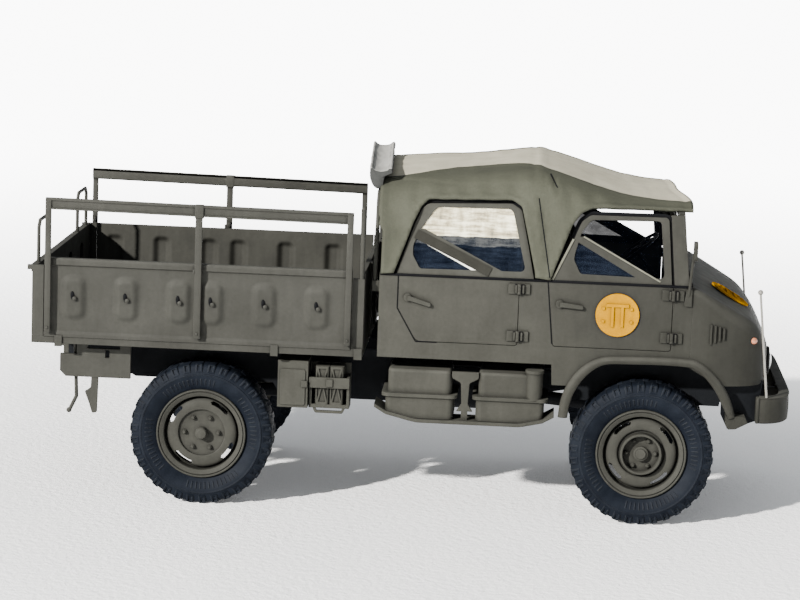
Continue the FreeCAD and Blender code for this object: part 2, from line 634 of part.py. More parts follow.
def can_rack():
    x1 = RACK_FRONT
    x0 = x1 - RACK_LENGTH
    outer, inner = -CAB_HALF_WIDTH + 0.5, -RACK_INNER_Y
    face = outer + 0.5
    z0, z1 = RACK_BOTTOM, RACK_TOP
    first = (x0 + x1) / 2 - CAN_LENGTH - 0.05
    cans = [embossed_can(x, x + CAN_LENGTH, face, inner - 0.6, z0 + 0.7, z1 - 0.2)
            for x in (first, first + CAN_LENGTH + 0.1)]
    strap = block(x0, x1, outer, face, z0 + 3.9, z0 + 5.9)
    ends = [block(x, x + 0.5, face, inner, z0 + 0.2, z0 + 5.9) for x in (x0, x1 - 0.5)]
    back = block(x0, x1, inner - 0.6, inner, z0 + 0.1, z1)
    foot = block(x0, x1, face, inner, z0, z0 + 0.7)
    loop = prism_xz([(x0 + 0.6, z0 + 0.3), (x0 + 1.2, z0 - 1.0, 0.4), (x1 - 1.2, z0 - 1.0, 0.4), (x1 - 0.6, z0 + 0.3),
                     (x1 - 1.1, z0 + 0.3), (x1 - 1.5, z0 - 0.5), (x0 + 1.5, z0 - 0.5), (x0 + 1.1, z0 + 0.3)],
                    face + 0.1, face + 0.6)
    buckle = block(first + CAN_LENGTH - 0.5, first + CAN_LENGTH + 0.7, outer - 0.25, outer, z0 + 4.2, z0 + 5.6)
    return fuse(cans + ends + [strap, back, foot, loop, buckle])


def tool_chest():
    x1 = CHEST_FRONT
    x0 = x1 - CHEST_LENGTH
    chest = block(x0, x1, -CAB_HALF_WIDTH + 0.3, -CHEST_INNER_Y, CHEST_BOTTOM, CHEST_TOP)
    lid = prism_xz(box_outline(x0 + 0.5, x1 - 0.5, CHEST_BOTTOM + 0.5, CHEST_TOP - 1.6, 0.4),
                   -CAB_HALF_WIDTH + 0.1, -CAB_HALF_WIDTH + 0.6)
    latch = block(x1 - 1.2, x1 - 0.1, -CAB_HALF_WIDTH - 0.15, -CAB_HALF_WIDTH + 0.4,
                  CHEST_BOTTOM + 4.0, CHEST_BOTTOM + 5.2)
    return fuse([chest, lid, latch])


def underbody_boxes():
    side_tanks()
    save("tool_chests", both_sides(tool_chest()))
    save("can_racks", both_sides(can_rack()))


# Cargo bed

def bed_floor():
    z = BED_BOTTOM
    plate = block(BED_REAR, BED_FRONT, -BED_HALF_WIDTH, BED_HALF_WIDTH, z, z + SILL_HEIGHT)
    edge = WALL_THICKNESS + DECK_GAP
    deck_half = BED_HALF_WIDTH - edge
    deck = block(BED_REAR + edge, BED_FRONT - edge, -deck_half, deck_half, z, z + SILL_HEIGHT + DECK_RISE)
    brackets = []
    for x, length in ((BED_FRONT - 1.6, 1.5), (BED_REAR + 4.4, 1.4), (BED_FRONT - 17.2, 1.4)):
        bracket = block(x, x + length, -BED_HALF_WIDTH - 0.3, -BED_HALF_WIDTH, z - 0.5, z + SILL_HEIGHT + 0.3)
        brackets += both_sides(bracket)
    save("bed_floor", [fuse([plate, deck] + brackets)])
    bearers = []
    pitch = (BED_FRONT - BED_REAR - 2 * BEARER_INSET) / (BEARER_COUNT - 1)
    for i in range(BEARER_COUNT):
        x = BED_REAR + BEARER_INSET + i * pitch
        bearers.append(block(x - BEARER_WIDTH / 2, x + BEARER_WIDTH / 2, -BEARER_HALF_LENGTH, BEARER_HALF_LENGTH,
                             RAIL_REAR_TOP, z))
    save("bed_bearers", bearers)


def pad_outline(middle, grow):
    low = WALL_TOP - PAD_BELOW_RIM - PAD_HEIGHT / 2
    return box_outline(middle - PAD_WIDTH / 2 - grow, middle + PAD_WIDTH / 2 + grow, low - grow,
                       low + PAD_HEIGHT + grow, PAD_WIDTH * 0.4 + grow)


def pad_middles():
    half = (BED_FRONT - BED_REAR) / 2
    middle = (BED_FRONT + BED_REAR) / 2
    pitch = (half - PAD_FROM_END - PAD_FROM_MIDDLE) / 2
    return [middle + side * (PAD_FROM_MIDDLE + i * pitch) for side in (-1, 1) for i in range(3)]


def pad_hook(x, y):
    """Lashing hook on a pad: a small plate and a bar that turns up at its end."""
    z = WALL_TOP - PAD_BELOW_RIM + HOOK_RISE
    stem = block(x - 0.3, x + 0.3, y - 0.45, y + 0.1, z - 0.8, z + 0.8)
    bar = block(x - 0.3, x + 1.3, y - 0.45, y - 0.1, z - 0.8, z - 0.3)
    return [stem, bar]


def bed_side():
    y = -BED_HALF_WIDTH
    z0 = BED_BOTTOM + SILL_HEIGHT
    rear = BED_REAR + CORNER_LENGTH + SEAM
    front = BED_FRONT - CORNER_LENGTH - SEAM
    panel = block(rear, front, y, y + WALL_THICKNESS, z0, WALL_TOP)
    rim = block(rear, front, y - RIM_PROUD, y + WALL_THICKNESS, WALL_TOP - RIM_DEPTH, WALL_TOP)
    pads = []
    hollows = []
    for x in pad_middles():
        pads.append(prism_xz(pad_outline(x, 0.0), y - PAD_PROUD, y + WALL_THICKNESS))
        hollows.append(prism_xz(pad_outline(x, -PAD_WALL), y - PAD_PROUD + PAD_WALL, y + WALL_THICKNESS))
        pads += pad_hook(x, y - PAD_PROUD)
    return fuse([panel, rim] + pads).cut(hollows)


def grab_loop():
    x = BED_REAR + WALL_THICKNESS / 2
    top = CORNER_TOP + LOOP_HEIGHT
    points = [vec(x, -LOOP_OUTER_Y, CORNER_TOP - 0.5), vec(x, -LOOP_OUTER_Y, top - LOOP_BEND),
              vec(x, -LOOP_OUTER_Y + LOOP_BEND, top), vec(x, -LOOP_INNER_Y - LOOP_BEND, top),
              vec(x, -LOOP_INNER_Y, top - LOOP_BEND), vec(x, -LOOP_INNER_Y, CORNER_TOP - 0.5)]
    return bent_rod(points, LOOP_ROD)


def tailgate():
    inner = BED_HALF_WIDTH - WALL_THICKNESS - SEAM
    z0 = BED_BOTTOM + SILL_HEIGHT
    gate = block(BED_REAR, BED_REAR + WALL_THICKNESS, -inner, inner, z0, CORNER_TOP)
    rim = block(BED_REAR - RIM_PROUD, BED_REAR + WALL_THICKNESS, -inner, inner, CORNER_TOP - RIM_DEPTH, CORNER_TOP)
    low = CORNER_TOP - PAD_BELOW_RIM + 1.0 - PAD_HEIGHT / 2
    pads = []
    hollows = []
    for side in (-1, 1):
        for i in range(2):
            middle = side * (inner / 5 + i * inner * 0.45)
            flat = box_outline(middle - PAD_WIDTH / 2, middle + PAD_WIDTH / 2, low, low + PAD_HEIGHT, PAD_WIDTH * 0.4)
            pads.append(prism_yz(flat, BED_REAR - PAD_PROUD, BED_REAR + WALL_THICKNESS))
            hollows.append(prism_yz(grown(flat, -PAD_WALL), BED_REAR - PAD_PROUD + PAD_WALL, BED_REAR + WALL_THICKNESS))
    return fuse([gate, rim] + pads + both_sides(grab_loop())).cut(hollows)


def bed_walls():
    z0 = BED_BOTTOM + SILL_HEIGHT
    side = bed_side()
    save("bed_side_right", [side])
    save("bed_side_left", [mirrored(side)])
    save("tailgate", [tailgate()])
    inner = BED_HALF_WIDTH - WALL_THICKNESS - SEAM
    head = block(BED_FRONT - WALL_THICKNESS, BED_FRONT, -inner, inner, z0, WALL_TOP - 0.4)
    bars = [block(BED_FRONT - WALL_THICKNESS, BED_FRONT + 0.5, y - 1.0, y + 1.0, z0, WALL_TOP - 0.4)
            for y in (-inner / 2, 0, inner / 2)]
    save("head_wall", [fuse([head] + bars)])
    y0, y1 = -BED_HALF_WIDTH, -BED_HALF_WIDTH + WALL_THICKNESS
    rear = block(BED_REAR, BED_REAR + CORNER_LENGTH, y0, y1, z0, CORNER_TOP)
    knob = block(BED_REAR - 0.9, BED_REAR, y0, y0 + 0.8, CORNER_TOP - 0.9, CORNER_TOP)
    front = block(BED_FRONT - CORNER_LENGTH, BED_FRONT, y0, y1, z0, CORNER_TOP)
    stake_base = vec(BED_FRONT - 0.6, y0 + STAKE_RADIUS, CORNER_TOP)
    stake = Part.makeCylinder(STAKE_RADIUS, STAKE_HEIGHT - STAKE_RADIUS, stake_base, vec(0, 0, 1))
    tip = Part.makeSphere(STAKE_RADIUS, stake_base + vec(0, 0, STAKE_HEIGHT - STAKE_RADIUS))
    save("bed_corner_posts", both_sides(fuse([rear, knob])) + both_sides(fuse([front, stake, tip])))


def side_rails():
    y1 = -BED_HALF_WIDTH - PAD_PROUD - POST_GAP
    y0 = y1 - POST_DEPTH
    foot = BED_BOTTOM + POST_FOOT
    top = WALL_TOP + BAR_RISE
    middle = (BED_REAR + BED_FRONT) / 2 + 0.2
    rear, front = BED_REAR + POST_REAR_INSET, BED_FRONT - POST_FRONT_INSET
    pieces = []
    for x, width in ((rear, POST_WIDTH), (middle, MID_POST_WIDTH), (front, POST_WIDTH)):
        pieces.append(block(x - width / 2, x + width / 2, y0, y1, foot, top))
        pieces.append(block(x - width / 2, x + width / 2, y1, -BED_HALF_WIDTH - RIM_PROUD, WALL_TOP - RIM_DEPTH, WALL_TOP))
        pieces.append(block(x - width / 2, x + width / 2, y1, -BED_HALF_WIDTH, foot, foot + 1.2))
    collar = block(middle - COLLAR_WIDTH / 2, middle + COLLAR_WIDTH / 2, y0, y1, WALL_TOP - 2.2, WALL_TOP + 0.2)
    bar = block(rear - POST_WIDTH / 2, front + POST_WIDTH / 2, y0, y1, top - BAR_DEPTH, top)
    lip = block(rear - POST_WIDTH / 2, front + POST_WIDTH / 2, y1, y1 + 0.5, top - 0.6, top)
    save("side_rails", both_sides(fuse(pieces + [bar, lip, collar])))


def rear_fittings():
    x0 = BED_REAR + 4.8
    y0, y1 = -SKIRT_Y, -SKIRT_Y + SKIRT_THICKNESS
    z = BED_BOTTOM
    flat = [(x0, z - 2.6), (x0, z - 5.8), (x0 + 1.1, z - 6.9), (x0 + 13.4, z - 6.9), (x0 + 13.4, z - 1.4),
            (x0 + 3.2, z - 1.4), (x0 + 3.2, z - 2.6)]
    plate = prism_xz(flat, y0, y1).cut(block(x0 + 8.6, x0 + 9.4, y0 - 1, y1 + 1, z - 3.1, z - 1.6))
    tabs = [block(x, x + 2.0, y0, y1, z - 1.5, z) for x in (x0 + 3.2, x0 + 11.4)]
    save("rear_skirt_plates", both_sides(fuse([plate] + tabs)))
    y = y1 + 0.5
    hanger = fuse([bent_rod([vec(x0 + 2.6, y, z + 1), vec(x0 + 3.0, y, z - 10.9), vec(x0 + 1.6, y, z - 13.9)], 0.35),
                   Part.makeSphere(0.5, vec(x0 + 1.6, y, z - 13.7))])
    hanger = hanger.cut(block(x0, x0 + 5, y - 1, y + 1, z, z + 2))
    fin = prism_xz([(x0 + 6.0, z - 6.9), (x0 + 7.3, z - 6.9), (x0 + 7.1, z - 13.7, 0.3), (x0 + 6.2, z - 13.8, 0.3),
                    (x0 + 5.7, z - 12.1), (x0 + 4.8, z - 9.7), (x0 + 5.9, z - 8.9)], y0 + 0.1, y1 - 0.2)
    save("rear_hangers", both_sides(hanger) + both_sides(fin))
    jaw_x = BED_REAR + RAIL_REAR_INSET - 0.4
    bar = block(jaw_x - 0.6, jaw_x + 0.4, -RAIL_OUTER_Y, RAIL_OUTER_Y, RAIL_REAR_TOP - RAIL_DEPTH, RAIL_REAR_TOP)
    jaw = prism_xy([(jaw_x - 3.6, -1.5, 1.2), (jaw_x - 0.6, -1.5), (jaw_x - 0.6, 1.5), (jaw_x - 3.6, 1.5, 1.2)],
                   RAIL_REAR_TOP - 4.0, RAIL_REAR_TOP - 0.6)
    mouth = block(jaw_x - 4.0, jaw_x - 1.2, -2.0, 2.0, RAIL_REAR_TOP - 3.0, RAIL_REAR_TOP - 1.6)
    bore = Part.makeCylinder(PIN_BORE_RADIUS, RAIL_REAR_TOP, vec(jaw_x - 2.3, 0, 1.0), vec(0, 0, 1))
    save("tow_coupling", [fuse([bar, jaw]).cut([mouth, bore])])


# Cab shell

SIDE_OUTLINE = [(CAB_REAR, CAB_BOTTOM), (-17.5, CAB_BOTTOM), (-17.3, CAB_BOTTOM - 3.9),
                (ARCH_REAR + 1.0, CAB_BOTTOM - 3.9), (CAB_FRONT, CAB_BOTTOM - 3.9), (CAB_FRONT, BELT - 0.2), (7.7, BELT),
                (CAB_REAR, BELT)]
REAR_DOOR_BOTTOM = CAB_BOTTOM + 3.2
FRONT_DOOR_BOTTOM = CAB_BOTTOM + 3.4
REAR_DOOR = [(-46.6, BELT), (-46.6, BELT - 6.4, 1.0), (-43.0, REAR_DOOR_BOTTOM, 1.5), (-24.0, REAR_DOOR_BOTTOM, 0.6),
             (-24.0, BELT)]
FRONT_DOOR = [(-18.8, BELT), (-17.5, FRONT_DOOR_BOTTOM, 0.6), (4.5, FRONT_DOOR_BOTTOM, 0.6), (4.5, BELT)]

# Window outlines, with heights above the belt line
REAR_FRAME = raised([(-47.0, 0), (-44.0, 9.4, 6), (-42.7, 12.4, 1.5), (-41.6, 13.4, 1.5), (-26.0, 14.0, 1.2),
                     (-24.2, 12.9, 1.2), (-22.7, 6.3, 8), (-21.4, 0)], BELT)
FRONT_FRAME = raised([(-18.0, 0), (-14.4, 7.7, 6), (-13.0, 11.2, 2), (-11.4, 12.5, 1.6), (3.1, 12.6, 0.8), (4.1, 0)],
                     BELT)
REAR_PANE = raised([(-42.7, 1.2, 0.8), (-44.1, 3.7, 2), (-44.1, 5.6, 2), (-42.7, 8.7, 4), (-40.0, 12.8, 1.8),
                    (-25.9, 13.0, 1.2), (-23.0, 1.4, 0.8)], BELT)
FRONT_PANE = raised([(-12.9, 1.5, 0.8), (-14.2, 4.1, 1.5), (-14.0, 5.4, 1.5), (-12.9, 9.4, 3), (-11.2, 11.6, 1.2),
                     (1.7, 11.9, 0.8), (2.7, 1.2, 0.8)], BELT)
REAR_BRACE = raised([(-44.9, 8.6), (-42.0, 8.6), (-25.9, 0.6), (-29.5, 0.6)], BELT)
FRONT_BRACE = raised([(-15.4, 8.4), (-12.5, 8.4), (1.9, 0.6), (-1.5, 0.6)], BELT)
CANVAS_REAR_OPENING = raised([(-47.6, -2), (-47.5, 0.2), (-44.2, 9.5, 4), (-42.9, 12.6, 1.5), (-41.6, 13.9, 1.2),
                              (-25.9, 14.4, 1.2), (-24.2, 13.3, 1.2), (-22.5, 6.4, 8), (-21.3, 1.4), (-21.0, -2)], BELT)
CANVAS_FRONT_OPENING = raised([(-18.5, -2), (-18.3, 0.5), (-14.6, 10.6, 4), (-13.2, 12.5, 1.2), (-11.1, 13.5, 1.2),
                               (0.2, 13.4, 3), (5.4, 13.3), (9.5, 13.3), (9.5, -2)], BELT)
ARCH_SHAPE = [(-1, 0.0, 9.7, 0), (-1, 2.2, 3.8, 3.0), (-1, 6.4, 0.2, 4.0), (1, -7.7, 0.1, 5.0), (1, -2.6, 3.0, 4.0),
              (1, 0.3, 9.1, 0)]


def arch_points():
    """Edge of the front wheel opening, from its rear foot over the top to its front foot."""
    return [(ARCH_OFFSET + end * ARCH_HALF_WIDTH + dx, ARCH_TOP - drop, radius) for end, dx, drop, radius in ARCH_SHAPE]


def arch_cut():
    points = arch_points()
    ground = -TYRE_RADIUS
    return prism_xz([(points[0][0], ground)] + points + [(points[-1][0], ground)], -CAB_HALF_WIDTH - 5, 0)


def lean_in(shape):
    """Tilt an upright window piece inwards about the belt line of the right side."""
    shape = shape.copy()
    shape.rotate(vec(0, -CAB_HALF_WIDTH, BELT), vec(1, 0, 0), -TUMBLEHOME)
    return shape


def above_belt(shape):
    return shape.common(block(CAB_REAR - 9, CAB_FRONT + 9, -CAB_HALF_WIDTH - 9, CAB_HALF_WIDTH + 9, BELT, 2 * BELT))


def hinge(seam, z, towards, levels):
    """One half of a hinge at a seam: a leaf on its own side, and the knuckle pieces at the given levels."""
    x = seam - SEAM / 2
    y = -CAB_HALF_WIDTH

    def plate(near, far, y1, z0, z1):
        x0, x1 = sorted((x + near * towards, x + far * towards))
        return block(x0, x1, y - HINGE_PROUD, y1, z0, z1)

    pieces = [plate(KNUCKLE_RADIUS + 0.05, HINGE_LEAF, y + 0.1, z - HINGE_HEIGHT / 2, z + HINGE_HEIGHT / 2)]
    for low, high in levels:
        centre = vec(x, y - KNUCKLE_RADIUS - 0.08, z + low)
        pieces.append(Part.makeCylinder(KNUCKLE_RADIUS, high - low, centre, vec(0, 0, 1)))
        pieces.append(plate(0, KNUCKLE_RADIUS + 0.1, y - 0.12, z + low, z + high))
    return pieces


KNUCKLE_THIRD = HINGE_HEIGHT / 6
DOOR_KNUCKLES = [(-KNUCKLE_THIRD, KNUCKLE_THIRD)]
BODY_KNUCKLES = [(-3 * KNUCKLE_THIRD, -KNUCKLE_THIRD - 0.03), (KNUCKLE_THIRD + 0.03, 3 * KNUCKLE_THIRD)]


def handle(x, z, drop):
    y = -CAB_HALF_WIDTH
    boss = Part.makeCylinder(0.75, HANDLE_PROUD, vec(x, y + 0.1, z), vec(0, -1, 0))
    bar = prism_xz([(x, z + 0.45), (x, z - 0.45), (x + 4.3, z - drop - 0.3, 0.25), (x + 4.3, z - drop + 0.4, 0.3)],
                   y - HANDLE_PROUD - 0.2, y - HANDLE_PROUD + 0.25)
    tail = block(x + 3.4, x + 4.0, y - HANDLE_PROUD, y + 0.1, z - drop - 0.2, z - drop + 0.3)
    return [boss, bar, tail]


REAR_HINGES = [(-24.0, BELT - 1.8), (-24.0, REAR_DOOR_BOTTOM + 1.9)]
FRONT_HINGES = [(4.5, BELT - 1.8), (4.5, FRONT_DOOR_BOTTOM + 2.6)]
HANDLE_Z = BELT - 4.3


def door(lower, frame, pane, brace, fittings):
    y = -CAB_HALF_WIDTH
    panel = prism_xz(grown(lower, -SEAM), y, y + CAB_WALL)
    frame_solid = prism_xz(frame, y + 0.1, y + CAB_WALL)
    window = prism_xz(pane, y - 1, y + 2)
    bar = prism_xz(brace, y + 0.1, y + CAB_WALL).common(prism_xz(frame, y, y + 2))
    joined = block(lower[0][0] + 0.5, lower[-1][0] - 0.5, y + 0.1, y + CAB_WALL, BELT - 0.4, BELT + 0.1)
    upper = above_belt(lean_in(fuse([frame_solid.cut(window), bar])))
    return fuse([panel, joined, upper] + fittings)


def window_pane(pane, brace):
    y = -CAB_HALF_WIDTH
    glass = prism_xz(pane, y + 0.35, y + 0.35 + PANE_THICKNESS)
    return lean_in(glass.cut(prism_xz(brace, y - 1, y + 2)))


def mirror_on_stalk():
    """Lattice bracket on the scuttle with a stalk that carries a mirror seen edge-on from the side."""
    y, z = -CAB_HALF_WIDTH, BELT
    bracket = prism_xz([(6.4, z - 3.7, 0.4), (7.9, z - 3.7), (7.9, z - 0.5), (6.9, z - 0.5, 0.4)], y - 0.4, y + 0.1)
    stalk = bent_rod([vec(7.3, y - 0.2, z - 1.7), vec(7.5, y - 1.0, z + 2.3), vec(7.9, y - 1.4, z + 6.7)], 0.28)
    plate = prism_yz(box_outline(y - 2.9, y + 0.1, z + 5.1, z + 8.6, 0.7), 7.7, 8.4)
    return [bracket, stalk, plate]


def cab_sides():
    y = -CAB_HALF_WIDTH
    wall = prism_xz(SIDE_OUTLINE, y, y + CAB_WALL).cut(arch_cut())
    for lower in (REAR_DOOR, FRONT_DOOR):
        wall = wall.cut(prism_xz(lower, y - 1, y + 2))
    extras = []
    for x, z in REAR_HINGES + FRONT_HINGES:
        extras += hinge(x, z, 1, BODY_KNUCKLES)
    extras += mirror_on_stalk()
    wall = fuse([wall] + extras)
    save("cab_side_right", [wall])
    save("cab_side_left", [mirrored(wall)])
    for place, parts, hinges, grip in (
            ("rear", (REAR_DOOR, REAR_FRAME, REAR_PANE, REAR_BRACE), REAR_HINGES, handle(-44.7, HANDLE_Z, 1.3)),
            ("front", (FRONT_DOOR, FRONT_FRAME, FRONT_PANE, FRONT_BRACE), FRONT_HINGES, handle(-16.4, HANDLE_Z, 0.5))):
        fittings = list(grip)
        for x, z in hinges:
            fittings += hinge(x, z, -1, DOOR_KNUCKLES)
        leaf = door(*parts, fittings)
        save("door_" + place + "_right", [leaf])
        save("door_" + place + "_left", [mirrored(leaf)])
    glasses = []
    for pane, brace in ((REAR_PANE, REAR_BRACE), (FRONT_PANE, FRONT_BRACE)):
        for glass in window_pane(pane, brace).Solids:
            glasses += both_sides(glass)
    save("window_glass", glasses + windscreen_panes())


# Nose: sections across the truck, each (x, half width, top at the side, rise to the middle, corner radius)

NOSE_SECTIONS = [(CAB_FRONT, CAB_HALF_WIDTH, BELT - 0.2, 0.2, 1.2), (12.3, CAB_HALF_WIDTH - 0.05, BELT - 2.4, 0.4, 2.0),
                 (15.5, CAB_HALF_WIDTH - 0.4, BELT - 4.2, 0.5, 2.4), (18.3, CAB_HALF_WIDTH - 1.2, BELT - 5.8, 0.6, 2.6),
                 (20.4, CAB_HALF_WIDTH - 2.6, BELT - 7.4, 0.7, 2.8), (21.8, CAB_HALF_WIDTH - 4.3, BELT - 9.5, 0.9, 2.8),
                 (NOSE_FRONT, CAB_HALF_WIDTH - 6.6, NOSE_TOP, 0.7, 2.6)]


def nose_section(x, half, side_top, rise, radius, bottom):
    third = radius * 0.29
    left_low = vec(x, -half, side_top - radius)
    left_mid = vec(x, -half + third, side_top - third)
    left_top = vec(x, -half + radius, side_top)
    crown = vec(x, 0, side_top + rise)
    right_top, right_mid, right_low = (vec(x, -p.y, p.z) for p in (left_top, left_mid, left_low))
    foot_left, foot_right = vec(x, -half, bottom), vec(x, half, bottom)
    edges = [Part.makeLine(foot_left, left_low), Part.Arc(left_low, left_mid, left_top).toShape(),
             Part.Arc(left_top, crown, right_top).toShape(), Part.Arc(right_top, right_mid, right_low).toShape(),
             Part.makeLine(right_low, foot_right), Part.makeLine(foot_right, foot_left)]
    return Part.Wire(edges)


def nose_form(inset, rear_reach):
    wires = []
    for i, (x, half, top, rise, radius) in enumerate(NOSE_SECTIONS):
        place = x - (inset if i == len(NOSE_SECTIONS) - 1 else 0.6 * inset if i > 3 else 0)
        if i == 0:
            place -= rear_reach
        wires.append(nose_section(place, half - inset, top - inset, rise, radius, NOSE_BOTTOM - 2))
    return Part.makeLoft(wires, True, False)


def grille_bars():
    bars = []
    pitch = 2 * GRILLE_HALF_WIDTH / (GRILLE_BARS + 1)
    for i in range(GRILLE_BARS):
        y = -GRILLE_HALF_WIDTH + (i + 1) * pitch
        bars.append(block(NOSE_FRONT - 0.8, NOSE_FRONT - 0.2, y - 0.35, y + 0.35, GRILLE_BOTTOM - 0.2, GRILLE_TOP + 0.2))
    return bars


def vent_ribs():
    ribs = []
    for i in range(4):
        x = 11.6 + i * 0.8
        ribs.append(block(x, x + 0.35, -CAB_HALF_WIDTH - 0.25, -CAB_HALF_WIDTH + 0.8,
                          BELT - 10.7 + 0.35 * i, BELT - 6.9 - 0.2 * i))
    return ribs


def wing_liner():
    """Sheet over the front wheel inside the nose, so that the bay behind it is closed."""
    over = arch_points()[3:]
    reach = -CAB_HALF_WIDTH + 0.5
    band = [(CAB_FRONT, ARCH_TOP + 0.02), (CAB_FRONT, ARCH_TOP + 0.7)]
    band += [(x + 0.45, z + 0.5) for x, z, r in over] + [(x + 0.02, z) for x, z, r in reversed(over)]
    return prism_xz(band, reach, -RAIL_OUTER_Y - 1.2)


def nose():
    outer = nose_form(0.0, 0.0)
    shell = outer.cut(nose_form(CAB_WALL, 1.0))
    mouth = prism_yz(box_outline(-GRILLE_HALF_WIDTH, GRILLE_HALF_WIDTH, GRILLE_BOTTOM, GRILLE_TOP, 1.6),
                     NOSE_FRONT - 3, NOSE_FRONT + 1)
    keep = prism_xz([(CAB_FRONT, NOSE_BOTTOM), (NOSE_FRONT - 1.5, NOSE_BOTTOM), (NOSE_FRONT + 1, NOSE_BOTTOM + 1.2),
                     (NOSE_FRONT + 1, 2 * BELT), (CAB_FRONT, 2 * BELT)], -CAB_HALF_WIDTH - 5, CAB_HALF_WIDTH + 5)
    shell = shell.common(keep).cut(mouth)
    ribs = []
    for rib in vent_ribs():
        ribs += both_sides(rib)
    arch = arch_cut()
    shell = fuse([shell] + grille_bars() + ribs).cut(both_sides(arch))
    shell = fuse([shell] + both_sides(wing_liner()))
    save("nose_shell", [shell])
    save("arch_lips", both_sides(arch_lip(outer)))
    return outer


def arch_lip(nose_solid):
    """Raised lip round the wheel opening. Ahead of the cab side it reaches in to the curved nose."""
    inner = arch_points()
    outer = grown([(inner[0][0], -TYRE_RADIUS)] + inner + [(inner[-1][0], -TYRE_RADIUS)], ARCH_LIP)
    band = prism_xz(outer, -CAB_HALF_WIDTH - ARCH_LIP_PROUD, -CAB_HALF_WIDTH + 2).cut([arch_cut(), nose_solid])
    foot = min(inner[0][1], inner[-1][1])
    band = band.common(block(-2 * ARCH_HALF_WIDTH, 2 * ARCH_HALF_WIDTH, -2 * CAB_HALF_WIDTH, 0, foot, 2 * ARCH_TOP))
    band = band.cut(block(-2 * ARCH_HALF_WIDTH, CAB_FRONT, -CAB_HALF_WIDTH, 0, -TYRE_RADIUS, BELT))
    top = inner[-1]
    bracket = prism_xz(raised([(top[0], 0.6), (top[0] + 0.4, -2.1), (top[0] + 1.6, -2.0), (top[0] + 4.0, -1.0, 0.5),
                               (top[0] + 3.5, 0.3)], top[1]), -CAB_HALF_WIDTH - 0.7, -CAB_HALF_WIDTH - 0.1)
    return fuse([band, bracket])


def cab_inner():
    inner = CAB_HALF_WIDTH - CAB_WALL
    z0 = CAB_FLOOR_TOP - CAB_FLOOR_THICKNESS
    hole = ENGINE_HALF_WIDTH + SEAM
    floor = block(CAB_REAR + CAB_WALL, CAB_FRONT, -inner, inner, z0, CAB_FLOOR_TOP)
    floor = floor.cut(block(ENGINE_REAR - SEAM, CAB_FRONT + 1, -hole, hole, z0 - 1, CAB_FLOOR_TOP + 1))
    cover = block(ENGINE_REAR, CAB_FRONT - 0.1, -COVER_HALF_WIDTH, COVER_HALF_WIDTH, CAB_FLOOR_TOP, ENGINE_TOP + 1.2)
    cover = cover.cut(block(ENGINE_REAR - 1, CAB_FRONT + 1, -hole, hole, CAB_FLOOR_TOP - 1, ENGINE_TOP + 0.1))
    save("cab_floor", [fuse([floor, cover])])
    save("cab_rear_wall", [rear_wall()])
    scuttle = prism_xz([(CAB_FRONT, z0), (CAB_FRONT + 0.9, z0), (CAB_FRONT + 0.9, BELT - 1.8), (CAB_FRONT, BELT - 1.5)],
                       -inner + SEAM, inner - SEAM)
    hole_above = block(CAB_FRONT - 1, CAB_FRONT + 2, -hole, hole, z0 - 1, ENGINE_TOP + SEAM)
    save("bulkhead", [scuttle.cut([hole_above]).common(nose_form(CAB_WALL + SEAM, 1.0))])
    dash = prism_xz(raised([(5.7, -4.8, 0.5), (CAB_FRONT - 0.1, -4.8), (CAB_FRONT - 0.1, -0.2), (4.7, -0.2, 0.6),
                            (4.5, -2.4, 0.6)], BELT), -inner, inner)
    save("dashboard", [dash])
    save("seats", seats(inner))
    save("steering_wheel", [steering_wheel()])


def rear_wall():
    """Rear wall up to the belt, with the hoop that carries the hood's rear edge above it."""
    inner = CAB_HALF_WIDTH - CAB_WALL
    wall = block(CAB_REAR, CAB_REAR + CAB_WALL, -inner, inner, CAB_BOTTOM, BELT)
    x = CAB_REAR - 0.9
    slope = math.tan(math.radians(TUMBLEHOME))
    top = BELT + 14.5
    foot_y, shoulder_y = inner - 0.6, inner - 0.6 - (top - BELT) * slope
    hoop = bent_rod([vec(x, -foot_y, BELT - 3.5), vec(x, -foot_y, BELT), vec(x, -shoulder_y, top - 1.5),
                     vec(x, -shoulder_y + 1.6, top), vec(x, shoulder_y - 1.6, top), vec(x, shoulder_y, top - 1.5),
                     vec(x, foot_y, BELT), vec(x, foot_y, BELT - 3.5)], 0.4)
    clips = [block(x - 0.5, CAB_REAR + 0.2, side * foot_y - 0.6, side * foot_y + 0.6, BELT - 3.6, BELT - 1.6)
             for side in (-1, 1)]
    return fuse([wall, hoop] + clips)


def soft_block(x0, x1, y0, y1, z0, z1, radius):
    solid = block(x0, x1, y0, y1, z0, z1)
    return solid.makeFillet(radius, solid.Edges)


def seats(inner):
    solids = []
    z = CAB_FLOOR_TOP
    wide = inner / 2 - COVER_HALF_WIDTH - 0.2
    for y in (-inner / 2, inner / 2):
        cushion = soft_block(-13.9, -2.9, y - wide, y + wide, z + 4.0, z + 6.6, 0.7)
        back = prism_xz([(-15.3, z + 6.0, 0.6), (-13.5, z + 6.0), (-14.7, z + 18.0, 0.6), (-16.5, z + 18.0, 0.6)],
                        y - wide, y + wide)
        base = block(-13.3, -7.3, y - wide + 1.4, y + wide - 1.4, z, z + 4.4)
        solids.append(fuse([cushion, back, base]))
    half = inner - 4.4
    bench = soft_block(-42.9, -32.5, -half, half, z + 4.4, z + 7.0, 0.7)
    back = prism_xz([(-44.7, z + 6.0, 0.6), (-42.7, z + 6.0), (-44.1, z + 18.0, 0.6), (-45.9, z + 18.0, 0.6)], -half, half)
    base = block(-42.1, -33.9, -half + 2.0, half - 2.0, z, z + 4.8)
    solids.append(fuse([bench, back, base]))
    return solids


